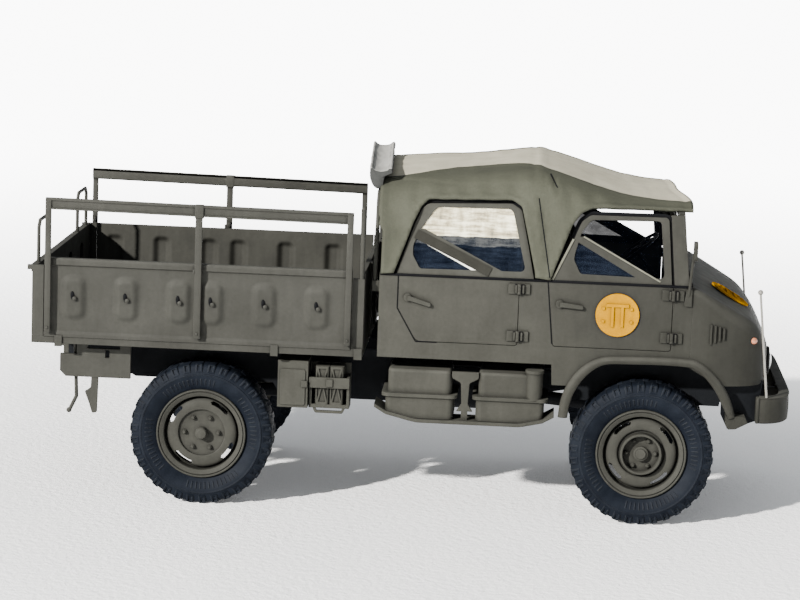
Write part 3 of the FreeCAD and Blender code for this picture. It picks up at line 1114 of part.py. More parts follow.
def steering_wheel():
    centre = vec(-1.4, (CAB_HALF_WIDTH - CAB_WALL) / 2, BELT + 0.7)
    axis = vec(-0.62, 0, 0.785)
    side = axis.cross(vec(0, 1, 0))
    ring_radius, wire = 5.2, 0.35
    flat = []
    for k in range(6):
        a, b = polar(wire, 60 * k)
        flat.append(centre + vec(0, ring_radius + a, 0) + axis * b)
    ring = Part.Face(Part.makePolygon(flat + flat[:1])).revolve(centre, axis, 360)
    hub = Part.makeCylinder(0.9, 0.7, centre - axis * 0.3, axis)
    column = rod(centre - axis * 16.5, centre, 0.45)
    column = column.common(block(centre.x - 2, CAB_FRONT, 0, 2 * centre.y, 0, BELT + 9))
    spokes = []
    for k in range(3):
        across, down = polar(ring_radius, 90 + 120 * k)
        spokes.append(rod(centre, centre + vec(0, across, 0) + side * down, 0.25))
    return fuse([ring, hub, column] + spokes)


def screen_sheet(inset, thickness):
    """Leaning slab of the windscreen, set back from its front face by the inset."""
    half = CAB_HALF_WIDTH
    return prism_xz([(SCREEN_BASE_X - inset - thickness, BELT), (SCREEN_BASE_X - inset, BELT),
                     (SCREEN_TOP_X - inset, SCREEN_TOP), (SCREEN_TOP_X - inset - thickness, SCREEN_TOP)], -half, half)


def screen_narrowing():
    return (SCREEN_TOP - BELT) * math.tan(math.radians(TUMBLEHOME))


def screen_opening():
    half = CAB_HALF_WIDTH - CAB_WALL
    narrow = screen_narrowing()
    return prism_yz([(-half + 1.5, BELT + 1.4, 0.8), (-half + 1.2 + narrow, SCREEN_TOP - 1.3, 0.8),
                     (-0.7, SCREEN_TOP - 1.3, 0.5), (-0.7, BELT + 1.4, 0.5)], SCREEN_TOP_X - 9, SCREEN_BASE_X + 9)


def windscreen():
    half = CAB_HALF_WIDTH - CAB_WALL
    narrow = screen_narrowing()
    outer = prism_yz([(-half, BELT), (-half + narrow, SCREEN_TOP), (half - narrow, SCREEN_TOP), (half, BELT)],
                     SCREEN_TOP_X - 9, SCREEN_BASE_X + 9)
    opening = screen_opening()
    frame = screen_sheet(0, SCREEN_THICKNESS).common(outer).cut(both_sides(opening))
    pillar = prism_xz([(SCREEN_BASE_X - PILLAR_DEPTH, BELT), (SCREEN_BASE_X, BELT), (SCREEN_TOP_X, SCREEN_TOP),
                       (SCREEN_TOP_X - PILLAR_DEPTH + 0.1, SCREEN_TOP)], -CAB_HALF_WIDTH, -CAB_HALF_WIDTH + CAB_WALL)
    save("windscreen_frame", [fuse([frame] + both_sides(above_belt(lean_in(pillar))))])


def windscreen_panes():
    glass = screen_sheet(0.45, PANE_THICKNESS).common(screen_opening())
    return both_sides(glass)


# Canvas hood: sections across the truck at each (x, height of the roof)

ROOF_LINE = raised([(CAB_REAR, 17.1), (-40.5, 17.9), (-32.1, 18.7), (-21.5, 19.8), (-14.7, 18.3), (-8.9, 16.5),
                    (-2.9, 15.2), (6.7, 14.5)], BELT)


def hood_section(x, top, inset):
    half = CAB_HALF_WIDTH + CANVAS_OUT - inset
    low = BELT - (0 if inset == 0 else 1)
    slope = math.tan(math.radians(TUMBLEHOME))
    right = [vec(x, -half, low), vec(x, -half + 6.0 * slope, BELT + 6.0),
             vec(x, -half + (top - BELT - 5.4) * slope, top - 5.4 - inset),
             vec(x, -CAB_HALF_WIDTH + 4.9 + inset, top - 1.9 - inset),
             vec(x, -CAB_HALF_WIDTH + 9.3 + inset * 0.6, top - 0.3 - inset)]
    left = [vec(p.x, -p.y, p.z) for p in reversed(right)]
    spline = Part.BSplineCurve()
    spline.interpolate(right + [vec(x, 0, top + 0.4 - inset)] + left)
    return Part.Wire([spline.toShape(), Part.makeLine(left[-1], right[0])])


def hood():
    outer = Part.makeLoft([hood_section(x, top, 0.0) for x, top in ROOF_LINE], True, True)
    rear, front = ROOF_LINE[0], ROOF_LINE[-1]
    stretched = [(rear[0] - 1.0, rear[1])] + ROOF_LINE[1:-1] + [(front[0] + 1.0, front[1])]
    inner = Part.makeLoft([hood_section(x, top, CANVAS_WALL) for x, top in stretched], True, True)
    openings = []
    for points in (CANVAS_REAR_OPENING, CANVAS_FRONT_OPENING):
        openings += both_sides(lean_in(prism_xz(points, -CAB_HALF_WIDTH - 12, -5)))
    low_front = block(CANVAS_FRONT_OPENING[5][0] + 2.9, SCREEN_BASE_X + 9, -CAB_HALF_WIDTH, CAB_HALF_WIDTH, BELT - 5,
                      SCREEN_TOP + 0.1)
    shell = above_belt(outer.cut(inner).cut(openings + [low_front]))
    lip = above_belt(outer.cut(inner)).common(block(SCREEN_TOP_X - 0.3, SCREEN_TOP_X + 2, -CAB_HALF_WIDTH, CAB_HALF_WIDTH,
                                                    SCREEN_TOP + 0.1, 2 * BELT))
    lip.translate(vec(0.5, 0, 0.15))
    pieces = fuse([shell, lip])
    save("canvas_hood", [piece for piece in pieces.Solids if piece.Volume > 1.0])


def rolled_curtain():
    x, roof = ROOF_LINE[0]
    flat = raised([(x - 2.9, 1.9, 0.4), (x - 2.6, -0.3, 1.0), (x - 1.8, -1.9, 0.9), (x - 0.5, -2.1, 0.8), (x - 0.2, -1.0),
                   (x - 0.2, 0.75), (x + 1.5, 1.0), (x + 1.5, 2.1), (x + 0.4, 1.5, 0.5), (x - 0.8, 1.2, 0.8),
                   (x - 1.9, 1.4, 0.6)], roof)
    return prism_xz(flat, -CURTAIN_HALF_WIDTH, CURTAIN_HALF_WIDTH - 1.0)


# Front fittings

def bumper_curve(inset):
    """Half of the bumper's plan, from the right end to the middle, moved inwards by the inset."""
    half = BUMPER_HALF_WIDTH - inset
    front = FRONT_OVERHANG - inset
    return [(BUMPER_END_X, -half), (front - 3.4, -half + 0.6, 2.0), (front - 1.4, -half + 3.0, 3.0),
            (front - 0.7, -half + 8.0, 9.0), (front, 0)]


def whole_plan(half_plan):
    return half_plan + [(p[0], -p[1]) + tuple(p[2:]) for p in reversed(half_plan[:-1])]


def front_bumper():
    skin = prism_xy(whole_plan(bumper_curve(0)), BUMPER_BOTTOM, BUMPER_TOP)
    hollow_plan = bumper_curve(BUMPER_WALL)
    hollow_plan[0] = (BUMPER_END_X - 1, hollow_plan[0][1])
    open_plan = bumper_curve(BUMPER_FLANGE)
    open_plan[0] = (BUMPER_END_X - 1, open_plan[0][1])
    channel = prism_xy(whole_plan(hollow_plan), BUMPER_BOTTOM + BUMPER_WALL, BUMPER_TOP - BUMPER_WALL)
    behind = prism_xy(whole_plan(open_plan), BUMPER_BOTTOM - 1, BUMPER_TOP + 1)
    beam = skin.cut([channel, behind])
    arms = []
    for side in (-1, 1):
        y = side * (RAIL_OUTER_Y - RAIL_WIDTH / 2)
        arms.append(block(NOSE_FRONT + 0.7, FRONT_OVERHANG - 0.9, y - 0.8, y + 0.8, RAIL_FRONT_TOP - 3.4,
                          RAIL_FRONT_TOP - 0.8))
    save("front_bumper", [fuse([beam] + arms)])


def lamps(nose_solid):
    solids = []
    for side in (-1, 1):
        bowl = Part.makeCylinder(LAMP_RADIUS, 3.0, vec(NOSE_FRONT - 2.2, side * LAMP_Y, LAMP_Z), vec(1, 0, 0))
        guard = Part.makeCylinder(LAMP_RADIUS + LAMP_RING, 0.35, vec(NOSE_FRONT + 0.3, side * LAMP_Y, LAMP_Z), vec(1, 0, 0))
        collar = Part.makeCylinder(LAMP_RADIUS + 0.15, 2.6, vec(NOSE_FRONT - 2.2, side * LAMP_Y, LAMP_Z), vec(1, 0, 0))
        dome = Part.makeSphere(4.6, vec(NOSE_FRONT - 3.3, side * LAMP_Y, LAMP_Z))
        lens = dome.common(Part.makeCylinder(LAMP_RADIUS - 0.3, 2.5, vec(NOSE_FRONT, side * LAMP_Y, LAMP_Z), vec(1, 0, 0)))
        solids.append(fuse([bowl, guard, collar, lens]).cut(nose_solid))
        marker = Part.makeSphere(0.8, vec(19.9, side * (CAB_HALF_WIDTH - 2.0), BELT - 9.8))
        solids.append(marker.cut(nose_solid))
    save("head_lamps", solids)


def wands():
    y = -BUMPER_HALF_WIDTH + 0.55
    foot = vec(FRONT_OVERHANG - 4.9, y, BUMPER_TOP)
    tip = vec(FRONT_OVERHANG - 7.1, y + 0.1, BUMPER_TOP + WAND_HEIGHT)
    wand = fuse([rod(foot - (tip - foot) * 0.1, tip, WAND_RADIUS), Part.makeSphere(WAND_BALL, tip)])
    save("width_wands", both_sides(wand.cut(block(foot.x - 2, foot.x + 2, y - 2, y + 2, 0, BUMPER_TOP))))


def badge(relief):
    """Round painted plate with two upright ribs, a bar above them and four studs, lying in the XZ plane."""
    thick = DISC_BADGE_THICKNESS
    plate = Part.makeCylinder(DISC_BADGE_RADIUS, thick, vec(0, 0, 0), vec(0, -1, 0))
    pieces = [block(x - 0.25, x + 0.25, -thick - relief, 0, -2.2, 1.7) for x in (-0.9, 0.9)]
    pieces.append(block(-2.1, 2.1, -thick - relief, 0, 1.5, 2.1))
    for x in (-2.6, 2.6):
        for z in (-1.2, 1.2):
            pieces.append(block(x - 0.25, x + 0.25, -thick - relief, 0, z - 0.25, z + 0.25))
    return fuse([plate] + pieces)


def discs(nose_solid):
    door_badge = badge(0.25)
    door_badge.translate(vec(-5.7, -CAB_HALF_WIDTH, BELT - 5.9))
    lying = badge(0.25)
    higher, lower = NOSE_SECTIONS[1], NOSE_SECTIONS[3]
    slope = math.degrees(math.atan2(higher[2] - lower[2], lower[0] - higher[0]))
    lying.rotate(vec(0, 0, 0), vec(1, 0, 0), -90)
    lying.rotate(vec(0, 0, 0), vec(0, 1, 0), slope)
    lying.translate(vec(16.0, -10.0, BELT - 3.95))
    save("door_discs", both_sides(door_badge) + [lying.cut(nose_solid)])


def build():
    os.makedirs("parts", exist_ok=True)
    wheels()
    axles()
    springs()
    chassis()
    driveline()
    underbody_boxes()
    bed_floor()
    bed_walls()
    side_rails()
    rear_fittings()
    cab_sides()
    nose_solid = nose()
    cab_inner()
    windscreen()
    hood()
    save("rolled_curtain", [rolled_curtain()])
    front_bumper()
    lamps(nose_solid)
    wands()
    discs(nose_solid)


build()
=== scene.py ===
import json
import math
from bisect import bisect_right
from functools import cache

import bmesh
import bpy
from mathutils import Matrix, Vector
from mathutils.geometry import delaunay_2d_cdt
from mathutils.kdtree import KDTree
from mathutils.noise import noise


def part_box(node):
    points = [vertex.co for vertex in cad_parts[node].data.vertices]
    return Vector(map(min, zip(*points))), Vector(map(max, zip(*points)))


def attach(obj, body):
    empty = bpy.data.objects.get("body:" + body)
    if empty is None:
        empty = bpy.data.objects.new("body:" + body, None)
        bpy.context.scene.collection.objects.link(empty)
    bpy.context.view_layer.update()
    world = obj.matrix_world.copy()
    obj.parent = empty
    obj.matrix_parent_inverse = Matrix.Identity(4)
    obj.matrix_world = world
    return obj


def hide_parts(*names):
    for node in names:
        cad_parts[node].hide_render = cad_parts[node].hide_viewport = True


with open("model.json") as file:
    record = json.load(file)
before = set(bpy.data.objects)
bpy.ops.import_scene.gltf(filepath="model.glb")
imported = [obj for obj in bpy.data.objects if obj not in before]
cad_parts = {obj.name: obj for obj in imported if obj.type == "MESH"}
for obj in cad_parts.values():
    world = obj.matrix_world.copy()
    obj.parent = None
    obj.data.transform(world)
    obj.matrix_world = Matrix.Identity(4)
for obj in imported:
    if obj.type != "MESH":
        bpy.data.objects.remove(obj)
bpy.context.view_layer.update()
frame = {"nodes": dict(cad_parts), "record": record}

MM = 0.001


def centre_of(node):
    low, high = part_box(node)
    return (low + high) / 2 / MM


# Lengths are in millimetres, measured from the middle of the front axle: X forward, Y left, Z up
AXLE = centre_of("wheel_disc_front_right")
AXLE.y = 0.0


def corners_of(node):
    """The node's lowest and highest corners, from the front axle."""
    return [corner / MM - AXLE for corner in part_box(node)]


BELT = corners_of("windscreen_frame")[0].z
CAB_REAR = corners_of("cab_side_right")[0].x
CAB_SIDE = -corners_of("nose_shell")[0].y - 0.25
# Lean of the cab's upper sides
LEAN = math.radians(12.0)


def place(point):
    return (Vector(point) + AXLE) * MM


def smoothstep(low, high, value):
    t = min(max((value - low) / (high - low), 0.0), 1.0)
    return t * t * (3 - 2 * t)


def eased(at, values, u):
    """Value at u of the smooth curve that runs through the values at their places."""
    i = min(max(bisect_right(at, u) - 1, 0), len(at) - 2)
    span = at[i + 1] - at[i]
    t = (u - at[i]) / span

    def slope(k):
        low, high = max(k - 1, 0), min(k + 1, len(at) - 1)
        return (values[high] - values[low]) / (at[high] - at[low])

    return (values[i] * ((1 + 2 * t) * (1 - t) ** 2) + slope(i) * (span * t * (1 - t) ** 2)
            + values[i + 1] * (t * t * (3 - 2 * t)) - slope(i + 1) * (span * t * t * (1 - t)))


class Curve:
    """Smooth curve through points, followed by its own length."""

    def __init__(self, points):
        self.points = [Vector(point) for point in points]
        self.at = [0.0]
        for before, after in zip(self.points, self.points[1:]):
            self.at.append(self.at[-1] + (after - before).length)

    def point(self, share):
        return eased(self.at, self.points, share * self.at[-1])


def rounded(points, step=0.5):
    """Closed outline through corners. A third number rounds a corner with that radius."""
    result = []
    for i, corner in enumerate(points):
        here = Vector(corner[:2])
        if len(corner) < 3:
            result.append(here)
            continue
        before, after = ((Vector(points[k % len(points)][:2]) - here).normalized() for k in (i - 1, i + 1))
        half = before.angle(after) / 2
        reach = corner[2] / math.tan(half)
        centre = here + (before + after).normalized() * corner[2] / math.sin(half)
        start, end = here + before * reach - centre, here + after * reach - centre
        turn = start.angle_signed(end)
        steps = max(3, int(abs(turn) * corner[2] / step))
        result += [centre + Matrix.Rotation(-turn * k / steps, 2) @ start for k in range(steps + 1)]
    return result


def divided(points, step):
    """The same closed outline with extra points, so that none are further apart than the step."""
    result = []
    for i, here in enumerate(points):
        after = points[(i + 1) % len(points)]
        parts = max(1, math.ceil((after - here).length / step))
        result += [here.lerp(after, k / parts) for k in range(parts)]
    return result


def add_object(name, data):
    thing = bpy.data.objects.new(name, data)
    bpy.context.scene.collection.objects.link(thing)
    return thing


def mesh_of(name, points, faces):
    mesh = bpy.data.meshes.new(name)
    mesh.from_pydata(points, [], faces)
    return mesh


def make_piece(name, part, slot, look=None, replaces=None, sharp=40):
    """A piece on the truck, from points in millimetres and faces."""
    finish_piece(mesh_of(name, [place(point) for point in part[0]], part[1]), name, slot, look, replaces, sharp)


def finish_piece(mesh, name, slot, look=None, replaces=None, sharp=40, body="truck"):
    mesh.shade_smooth()
    if sharp:
        mesh.set_sharp_from_angle(angle=math.radians(sharp))
    mesh.materials.append(look or looks[slot])
    piece = add_object(name, mesh)
    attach(piece, body)
    if replaces:
        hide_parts(replaces)
    return piece


# Shared shapes: each is (points, faces)

def skin(rings, closed=True):
    """Surface over rings of equal size, with or without end faces."""
    size = len(rings[0])
    points = [point for ring in rings for point in ring]
    faces = [(a + k, a + (k + 1) % size, a + (k + 1) % size + size, a + k + size)
             for a in range(0, len(points) - size, size) for k in range(size)]
    if closed:
        faces += [tuple(reversed(range(size))), tuple(range(len(points) - size, len(points)))]
    return points, faces


def turned(profile, centre, axis, around=48):
    """A profile of (distance along the axis, radius) turned about it."""
    turn = Vector((0, 0, 1)).rotation_difference(Vector(axis))
    angles = [2 * math.pi * i / around for i in range(around)]
    rings = [[Vector((r * math.cos(a), r * math.sin(a), reach)) for a in angles] for reach, r in profile]
    return skin([[Vector(centre) + turn @ point for point in ring] for ring in rings], closed=False)


def bar(low, high, round_off=0.12):
    """Box between two corners with rounded edges."""
    low, high = Vector(low), Vector(high)
    solid = bmesh.new()
    bmesh.ops.create_cube(solid, size=1.0)
    for vert in solid.verts:
        vert.co = Vector([low[k] + (high[k] - low[k]) * (vert.co[k] + 0.5) for k in range(3)])
    bmesh.ops.bevel(solid, geom=solid.edges[:], offset=round_off, segments=2, profile=0.5, affect="EDGES")
    solid.verts.index_update()
    points = [vert.co.copy() for vert in solid.verts]
    faces = [tuple(vert.index for vert in face.verts) for face in solid.faces]
    solid.free()
    return points, faces


def plate(outline, y, thick, slant=0.0):
    """Upright plate from an outline of (x, z), inwards from y."""
    return skin([[Vector((x, y + slant * x + depth, z)) for x, z in outline] for depth in (0.0, thick)])


def joined(parts):
    points, faces = [], []
    for some_points, some_faces in parts:
        faces += [tuple(i + len(points) for i in face) for face in some_faces]
        points += some_points
    return points, faces


def flipped(part):
    return part[0], [tuple(reversed(face)) for face in part[1]]


def mirrored(part):
    return flipped(([Vector((p.x, -p.y, p.z)) for p in part[0]], part[1]))


def both_sides(*parts):
    return joined([part for each in parts for part in (each, mirrored(each))])


# Materials: noise sizes are real lengths

class Shader:
    """A node material with short helpers. An input takes a plain value or the output of another node."""

    def __init__(self, name):
        self.material = bpy.data.materials.new(name)
        self.material.use_nodes = True
        self.tree = self.material.node_tree
        self.bsdf = self.tree.nodes["Principled BSDF"]
        self.place = self.new("TexCoord").outputs["Object"]

    def feed(self, socket, value):
        if isinstance(value, bpy.types.NodeSocket):
            self.tree.links.new(value, socket)
        else:
            socket.default_value = value

    def fill(self, node, inputs):
        for name, value in inputs.items():
            self.feed(node.inputs[name.replace("_", " ")], value)

    def new(self, kind, how=None, **inputs):
        node = self.tree.nodes.new("ShaderNode" + kind)
        if how:
            node.operation = how
        self.fill(node, inputs)
        return node

    def set(self, **inputs):
        self.fill(self.bsdf, inputs)

    def noise(self, size_mm, detail=3, rough=0.55, stretch=None):
        place = self.new("Mapping", Vector=self.place, Scale=stretch).outputs[0] if stretch else self.place
        node = self.new("TexNoise", Vector=place, Scale=1.0 / (size_mm * MM), Detail=detail, Roughness=rough)
        return node.outputs["Fac"]

    def ramp(self, fac, stops):
        node = self.new("ValToRGB", Fac=fac)
        elements = node.color_ramp.elements
        while len(elements) < len(stops):
            elements.new(0.5)
        for element, (at, colour) in zip(elements, stops):
            element.position = at
            element.color = (*colour, 1.0)
        return node.outputs["Color"]

    def grey(self, fac, low, high, at=(0.3, 0.7)):
        return self.ramp(fac, [(at[0], (low,) * 3), (at[1], (high,) * 3)])

    def mix(self, fac, a, b, how="MIX"):
        node = self.new("Mix")
        node.data_type = "RGBA"
        node.blend_type = how
        self.feed(node.inputs[0], fac)
        for socket, value in zip(node.inputs[6:8], (a, b)):
            self.feed(socket, (*value, 1.0) if isinstance(value, tuple) else value)
        return node.outputs[2]

    def maths(self, how, a, b=0.0, c=0.0, clamp=False):
        node = self.new("Math", how)
        node.use_clamp = clamp
        for socket, value in zip(node.inputs, (a, b, c)):
            self.feed(socket, value)
        return node.outputs[0]

    def times(self, a, b, plus=0.0):
        return self.maths("MULTIPLY_ADD" if plus else "MULTIPLY", a, b, plus)

    def bump(self, height, depth_mm, strength=1.0):
        node = self.new("Bump", Height=height, Distance=depth_mm * MM, Strength=strength)
        if self.bsdf.inputs["Normal"].links:
            self.feed(node.inputs["Normal"], self.bsdf.inputs["Normal"].links[0].from_socket)
        self.set(Normal=node.outputs["Normal"])

    def round_edges(self, radius_mm):
        """Softens hard edges and returns how near an edge each point is."""
        bevel = self.new("Bevel", Radius=radius_mm * MM)
        bevel.samples = 4
        dot = self.new("VectorMath", "DOT_PRODUCT")
        self.feed(dot.inputs[0], bevel.outputs["Normal"])
        self.feed(dot.inputs[1], self.new("NewGeometry").outputs["Normal"])
        self.set(Normal=bevel.outputs["Normal"])
        return self.maths("MULTIPLY_ADD", dot.outputs["Value"], -4.0, 4.0, clamp=True)

    def axes(self, vector=None):
        """X, Y and Z of the point, or of the vector given."""
        return self.new("SeparateXYZ", Vector=vector or self.place).outputs

    def upward(self):
        """How far the surface faces up, from -1 to 1."""
        return self.axes(self.new("NewGeometry").outputs["Normal"])["Z"]

    def slit(self, x, slope, half, low, high):
        """1 in a narrow slit on both sides of the cab, else 0."""
        axes = self.axes()
        rise = self.maths("ADD", axes["Z"], -(AXLE.z + BELT) * MM)
        off = self.times(rise, -slope, axes["X"])
        off = self.maths("ABSOLUTE", self.maths("ADD", off, -(AXLE.x + x) * MM))
        inside = self.maths("LESS_THAN", off, half * MM)
        for value, how, limit in ((rise, "GREATER_THAN", low), (rise, "LESS_THAN", high),
                                  (self.maths("ABSOLUTE", axes["Y"]), "GREATER_THAN", SLIT_Y)):
            inside = self.times(inside, self.maths(how, value, limit * MM))
        return inside

    def painted_shade_along(self, painted_shade_tones):
        """Painted shade that changes along the truck, from (x from the front axle, grey) pairs."""
        start, end = painted_shade_tones[0][0], painted_shade_tones[-1][0]
        share = self.new("MapRange", Value=self.axes()["X"], From_Min=(AXLE.x + start) * MM,
                         From_Max=(AXLE.x + end) * MM)
        return self.ramp(share.outputs[0], [((x - start) / (end - start), (grey,) * 3) for x, grey in painted_shade_tones])

    def tint(self, base, colour):
        return self.mix(1.0, base, colour, "MULTIPLY")

    def patches(self, size_mm, detail, colour, least, most, at=(0.3, 0.7)):
        """The colour in soft patches, from least to most of its strength."""
        ends = [tuple(c * strength for c in colour) for strength in (least, most)]
        return self.ramp(self.noise(size_mm, detail), list(zip(at, ends)))

    def shaded(self, base, reach_mm, power, wash):
        """Sets the base colour, darkened in corners and gaps by a dark wash and painted shade."""
        node = self.new("AmbientOcclusion", Distance=reach_mm * MM)
        node.samples = 6
        shade = self.times(self.maths("POWER", node.outputs["AO"], power), wash, 1.0 - wash)
        self.set(Base_Color=self.tint(base, self.grey(shade, 0, 1, (0, 1))))


def paint(name, colour, dust_and_top_light=0.25, wear=0.35, painted_shade_tones=None):
    """Matt brushed model paint with soft patches, painted shade along the truck where given, a dark wash and
    painted shade in corners, worn edges, and dusting with a painted highlight on what faces up.
    """
    s = Shader(name)
    base = s.patches(8.0, 4.0, colour, 0.86, 1.14, (0.32, 0.68))
    base = s.tint(base, s.grey(s.noise(0.7, 3), 0.93, 1.06))
    base = s.tint(base, s.grey(s.noise(1.4, 2, stretch=(1, 1, 0.18)), 0.94, 1.05))
    # Painted shade along the truck: darker towards the nose.
    if painted_shade_tones:
        base = s.tint(base, s.painted_shade_along(painted_shade_tones))
    worn = s.times(s.round_edges(0.14), s.grey(s.noise(1.1, 4), 0, 1, (0.42, 0.62)))
    base = s.mix(s.times(worn, wear), base, tuple(c * 1.8 + 0.01 for c in colour))
    # Dusting and a painted highlight on faces that point up.
    above = s.times(s.maths("MULTIPLY", s.upward(), dust_and_top_light, clamp=True), s.noise(4, 3))
    base = s.mix(above, base, tuple(c * 2.0 + 0.02 for c in colour))
    # Dark wash and painted shade in corners and gaps.
    s.shaded(base, 1.1, 1.5, 0.75)
    s.set(Roughness=s.times(s.noise(2.5), 0.25, 0.55), Specular_IOR_Level=0.06)
    s.bump(s.noise(0.3, 2), 0.018, 0.6)
    return s.material


def rubber():
    s = Shader("rubber")
    base = s.ramp(s.noise(3, 4), [(0.3, (0.0026, 0.0037, 0.0062)), (0.7, (0.0055, 0.0072, 0.0108))])
    # Lighter lug edges: dusting and a painted highlight.
    dust_and_edge_highlight = s.times(s.round_edges(0.12), s.noise(0.8, 3))
    s.set(Base_Color=s.mix(s.times(dust_and_edge_highlight, 0.5), base, (0.055, 0.056, 0.055)))
    s.set(Roughness=s.times(s.noise(1.6), 0.2, 0.5), Specular_IOR_Level=0.045)
    s.bump(s.noise(0.2, 2), 0.02, 0.6)
    return s.material


def canvas_paint(name, colour, top, mask=None, shaded_slits=()):
    """Hard canvas: fine weave, blotches and a bleached top where the mesh says so. Without a mask the pale top
    is where it faces up, partly bleaching and partly painted light, and what doesn't face up stays dark as
    painted shade. Each slit is painted near black as shade, and corners get a dark wash and painted shade.
    """
    s = Shader(name)
    base = s.patches(7.0, 5.0, colour, 0.86, 1.12)
    if mask:
        attribute = s.new("Attribute")
        attribute.attribute_name = mask
    # Without a mask, pale where the faces point up: bleaching and painted light, with painted shade where they
    # don't.
    above = attribute.outputs["Fac"] if mask else s.upward()
    above = s.maths("ADD", above, s.times(s.noise(4, 5), 0.36, -0.18))
    above = s.grey(above, 0, 1, (0.38, 0.62) if mask else (0.62, 0.86))
    base = s.mix(above, base, s.patches(6.0, 5.0, top, 0.86, 1.1, (0.3, 0.72)))
    base = s.tint(base, s.grey(s.noise(0.5, 3), 0.93, 1.06))
    # Painted shade: each slit is painted near black.
    for slit in shaded_slits:
        base = s.mix(s.slit(*slit), base, (0.0015, 0.0018, 0.0024))
    # Dark wash and painted shade in corners and gaps.
    s.shaded(base, 1.4, 1.4, 0.65)
    s.set(Roughness=0.85, Specular_IOR_Level=0.1)
    for threads in ((1, 0.06, 1), (0.06, 1, 0.06)):
        s.bump(s.noise(0.28, 1, stretch=threads), 0.03, 0.5)
    s.bump(s.noise(2.2, 4), 0.12, 0.5)
    return s.material


def pane_sheet():
    """Clear panes: the rear ones crinkled and yellowed above, with a painted highlight line, and dark sheets of
    painted shade below the braces.
    """
    s = Shader("pane_sheet")
    x, _, z = s.axes()

    def below(slope, at_x, at_z, ragged_mm):
        """1 under a line through a point given in the axle frame, with a ragged edge."""
        level = (AXLE.z + at_z - slope * (AXLE.x + at_x)) * MM
        height = s.times(x, -slope, z)
        height = s.times(s.noise(1.2, 4, stretch=(0.4, 1, 1)), ragged_mm * MM, height)
        return s.maths("LESS_THAN", height, level + 0.5 * ragged_mm * MM)

    rear = s.maths("LESS_THAN", x, (AXLE.x - 20.0) * MM)
    front = s.maths("SUBTRACT", 1.0, rear)
    streaks = s.noise(0.8, 6, 0.7, stretch=(0.14, 1, 1))
    folds = s.noise(2, 5, 0.6, stretch=(1, 1, 0.3))
    crinkle = s.times(folds, 0.4, s.times(streaks, 0.6))
    yellowed = s.ramp(crinkle, [(0.36, (0.09, 0.085, 0.075)), (0.46, (0.33, 0.29, 0.19)),
                                (0.58, (0.78, 0.74, 0.55))])
    # Painted shade behind the rear panes: dim grey, and near black lower down.
    clouded_shade = s.ramp(crinkle, [(0.4, (0.006, 0.008, 0.012)), (0.6, (0.05, 0.052, 0.052))])
    painted_shade_navy = s.ramp(crinkle, [(0.4, (0.0012, 0.002, 0.0042)), (0.64, (0.008, 0.011, 0.018))])
    # Where the painted shade starts: dim below the first line, near black below the second.
    shaded_below = below(0.0, -34.0, 39.6, 0.7)
    deep = below(0.0, -30.0, 38.0, 1.2)
    # A painted highlight line across the rear panes.
    painted_glint = s.maths("SUBTRACT", below(-0.508, -44.9, 39.95, 0.1), below(-0.508, -44.9, 39.5, 0.1))
    look = s.mix(deep, s.mix(shaded_below, yellowed, clouded_shade), painted_shade_navy)
    look = s.mix(painted_glint, look, (0.75, 0.75, 0.66))
    # Below the front brace: a near-black sheet of painted shade.
    low = s.times(front, below(-0.4257, -13.4, 39.2, 0.0))
    low = s.times(low, s.maths("LESS_THAN", x, (AXLE.x + 3.0) * MM))
    s.set(Base_Color=s.mix(rear, painted_shade_navy, look), Roughness=0.15, Specular_IOR_Level=0.06)
    shade_sheet_opacity = s.times(s.noise(2, 3), 0.2, 0.72)
    veil = s.maths("MAXIMUM", s.times(rear, 0.92), s.times(low, shade_sheet_opacity, 0.03))
    s.set(Alpha=s.grey(veil, 0, 1, (0, 1)))
    s.bump(s.times(streaks, rear), 0.1, 0.6)
    return s.material


def yellow_paint():
    s = Shader("disc_yellow")
    base = s.ramp(s.noise(2.2, 4), [(0.3, (0.235, 0.107, 0.0)), (0.7, (0.29, 0.138, 0.0))])
    s.round_edges(0.12)
    # Dark wash and painted shade in corners and gaps.
    s.shaded(base, 0.8, 1.5, 0.6)
    s.set(Roughness=0.6, Specular_IOR_Level=0.0)
    s.bump(s.noise(0.4, 3), 0.03, 0.7)
    return s.material


def glossy(name, colour, rough):
    s = Shader(name)
    s.set(Base_Color=s.patches(0.8, 3.0, colour, 0.85, 1.0), Roughness=rough)
    s.bump(s.noise(0.5, 2), 0.02, 0.4)
    return s.material


OLIVE = (0.029, 0.029, 0.0245)
BED_OLIVE = (0.0247, 0.0247, 0.0215)
CANVAS = (0.037, 0.0385, 0.0285)
# Slits in the canvas, painted near black as shade: x at the belt line, lean, half width, lowest and highest;
# and how far out they start
SLIT_Y = 17.0
SHADED_SLITS = [(-18.4, -0.183, 0.12, 0.6, 14.9), (-7.2, -0.63, 0.15, 16.8, 19.0)]
# Painted shade along the cab, darker towards the nose: x from the front axle, grey.
CAB_PAINTED_SHADE = [(-50, 0.95), (-27, 0.93), (-12, 0.68), (4, 0.6), (14, 0.5), (28, 0.55)]
looks = {
    "body_paint": paint("olive_paint", OLIVE, dust_and_top_light=0.55, painted_shade_tones=CAB_PAINTED_SHADE),
    "bed_paint": paint("olive_paint_bed", BED_OLIVE, dust_and_top_light=0.45),
    "chassis_paint": paint("black_olive_paint", (0.0036, 0.0042, 0.0052), dust_and_top_light=0.05, wear=0.1),
    "cab_inside": paint("cab_inside_paint", (0.004, 0.0042, 0.005), dust_and_top_light=0.05, wear=0.1),
    "rubber": rubber(),
    "wheel_paint": paint("wheel_paint", (0.025, 0.025, 0.0215)),
    "clear_panes": pane_sheet(),
    "canvas": canvas_paint("canvas_paint", CANVAS, (0.33, 0.31, 0.24), "bleached", SHADED_SLITS),
    "disc_paint": yellow_paint(),
    "lamp": paint("lamp_rim", (0.02, 0.02, 0.02), wear=0.3),
    "wand": glossy("wand_paint", (0.13, 0.125, 0.11), 0.45),
}
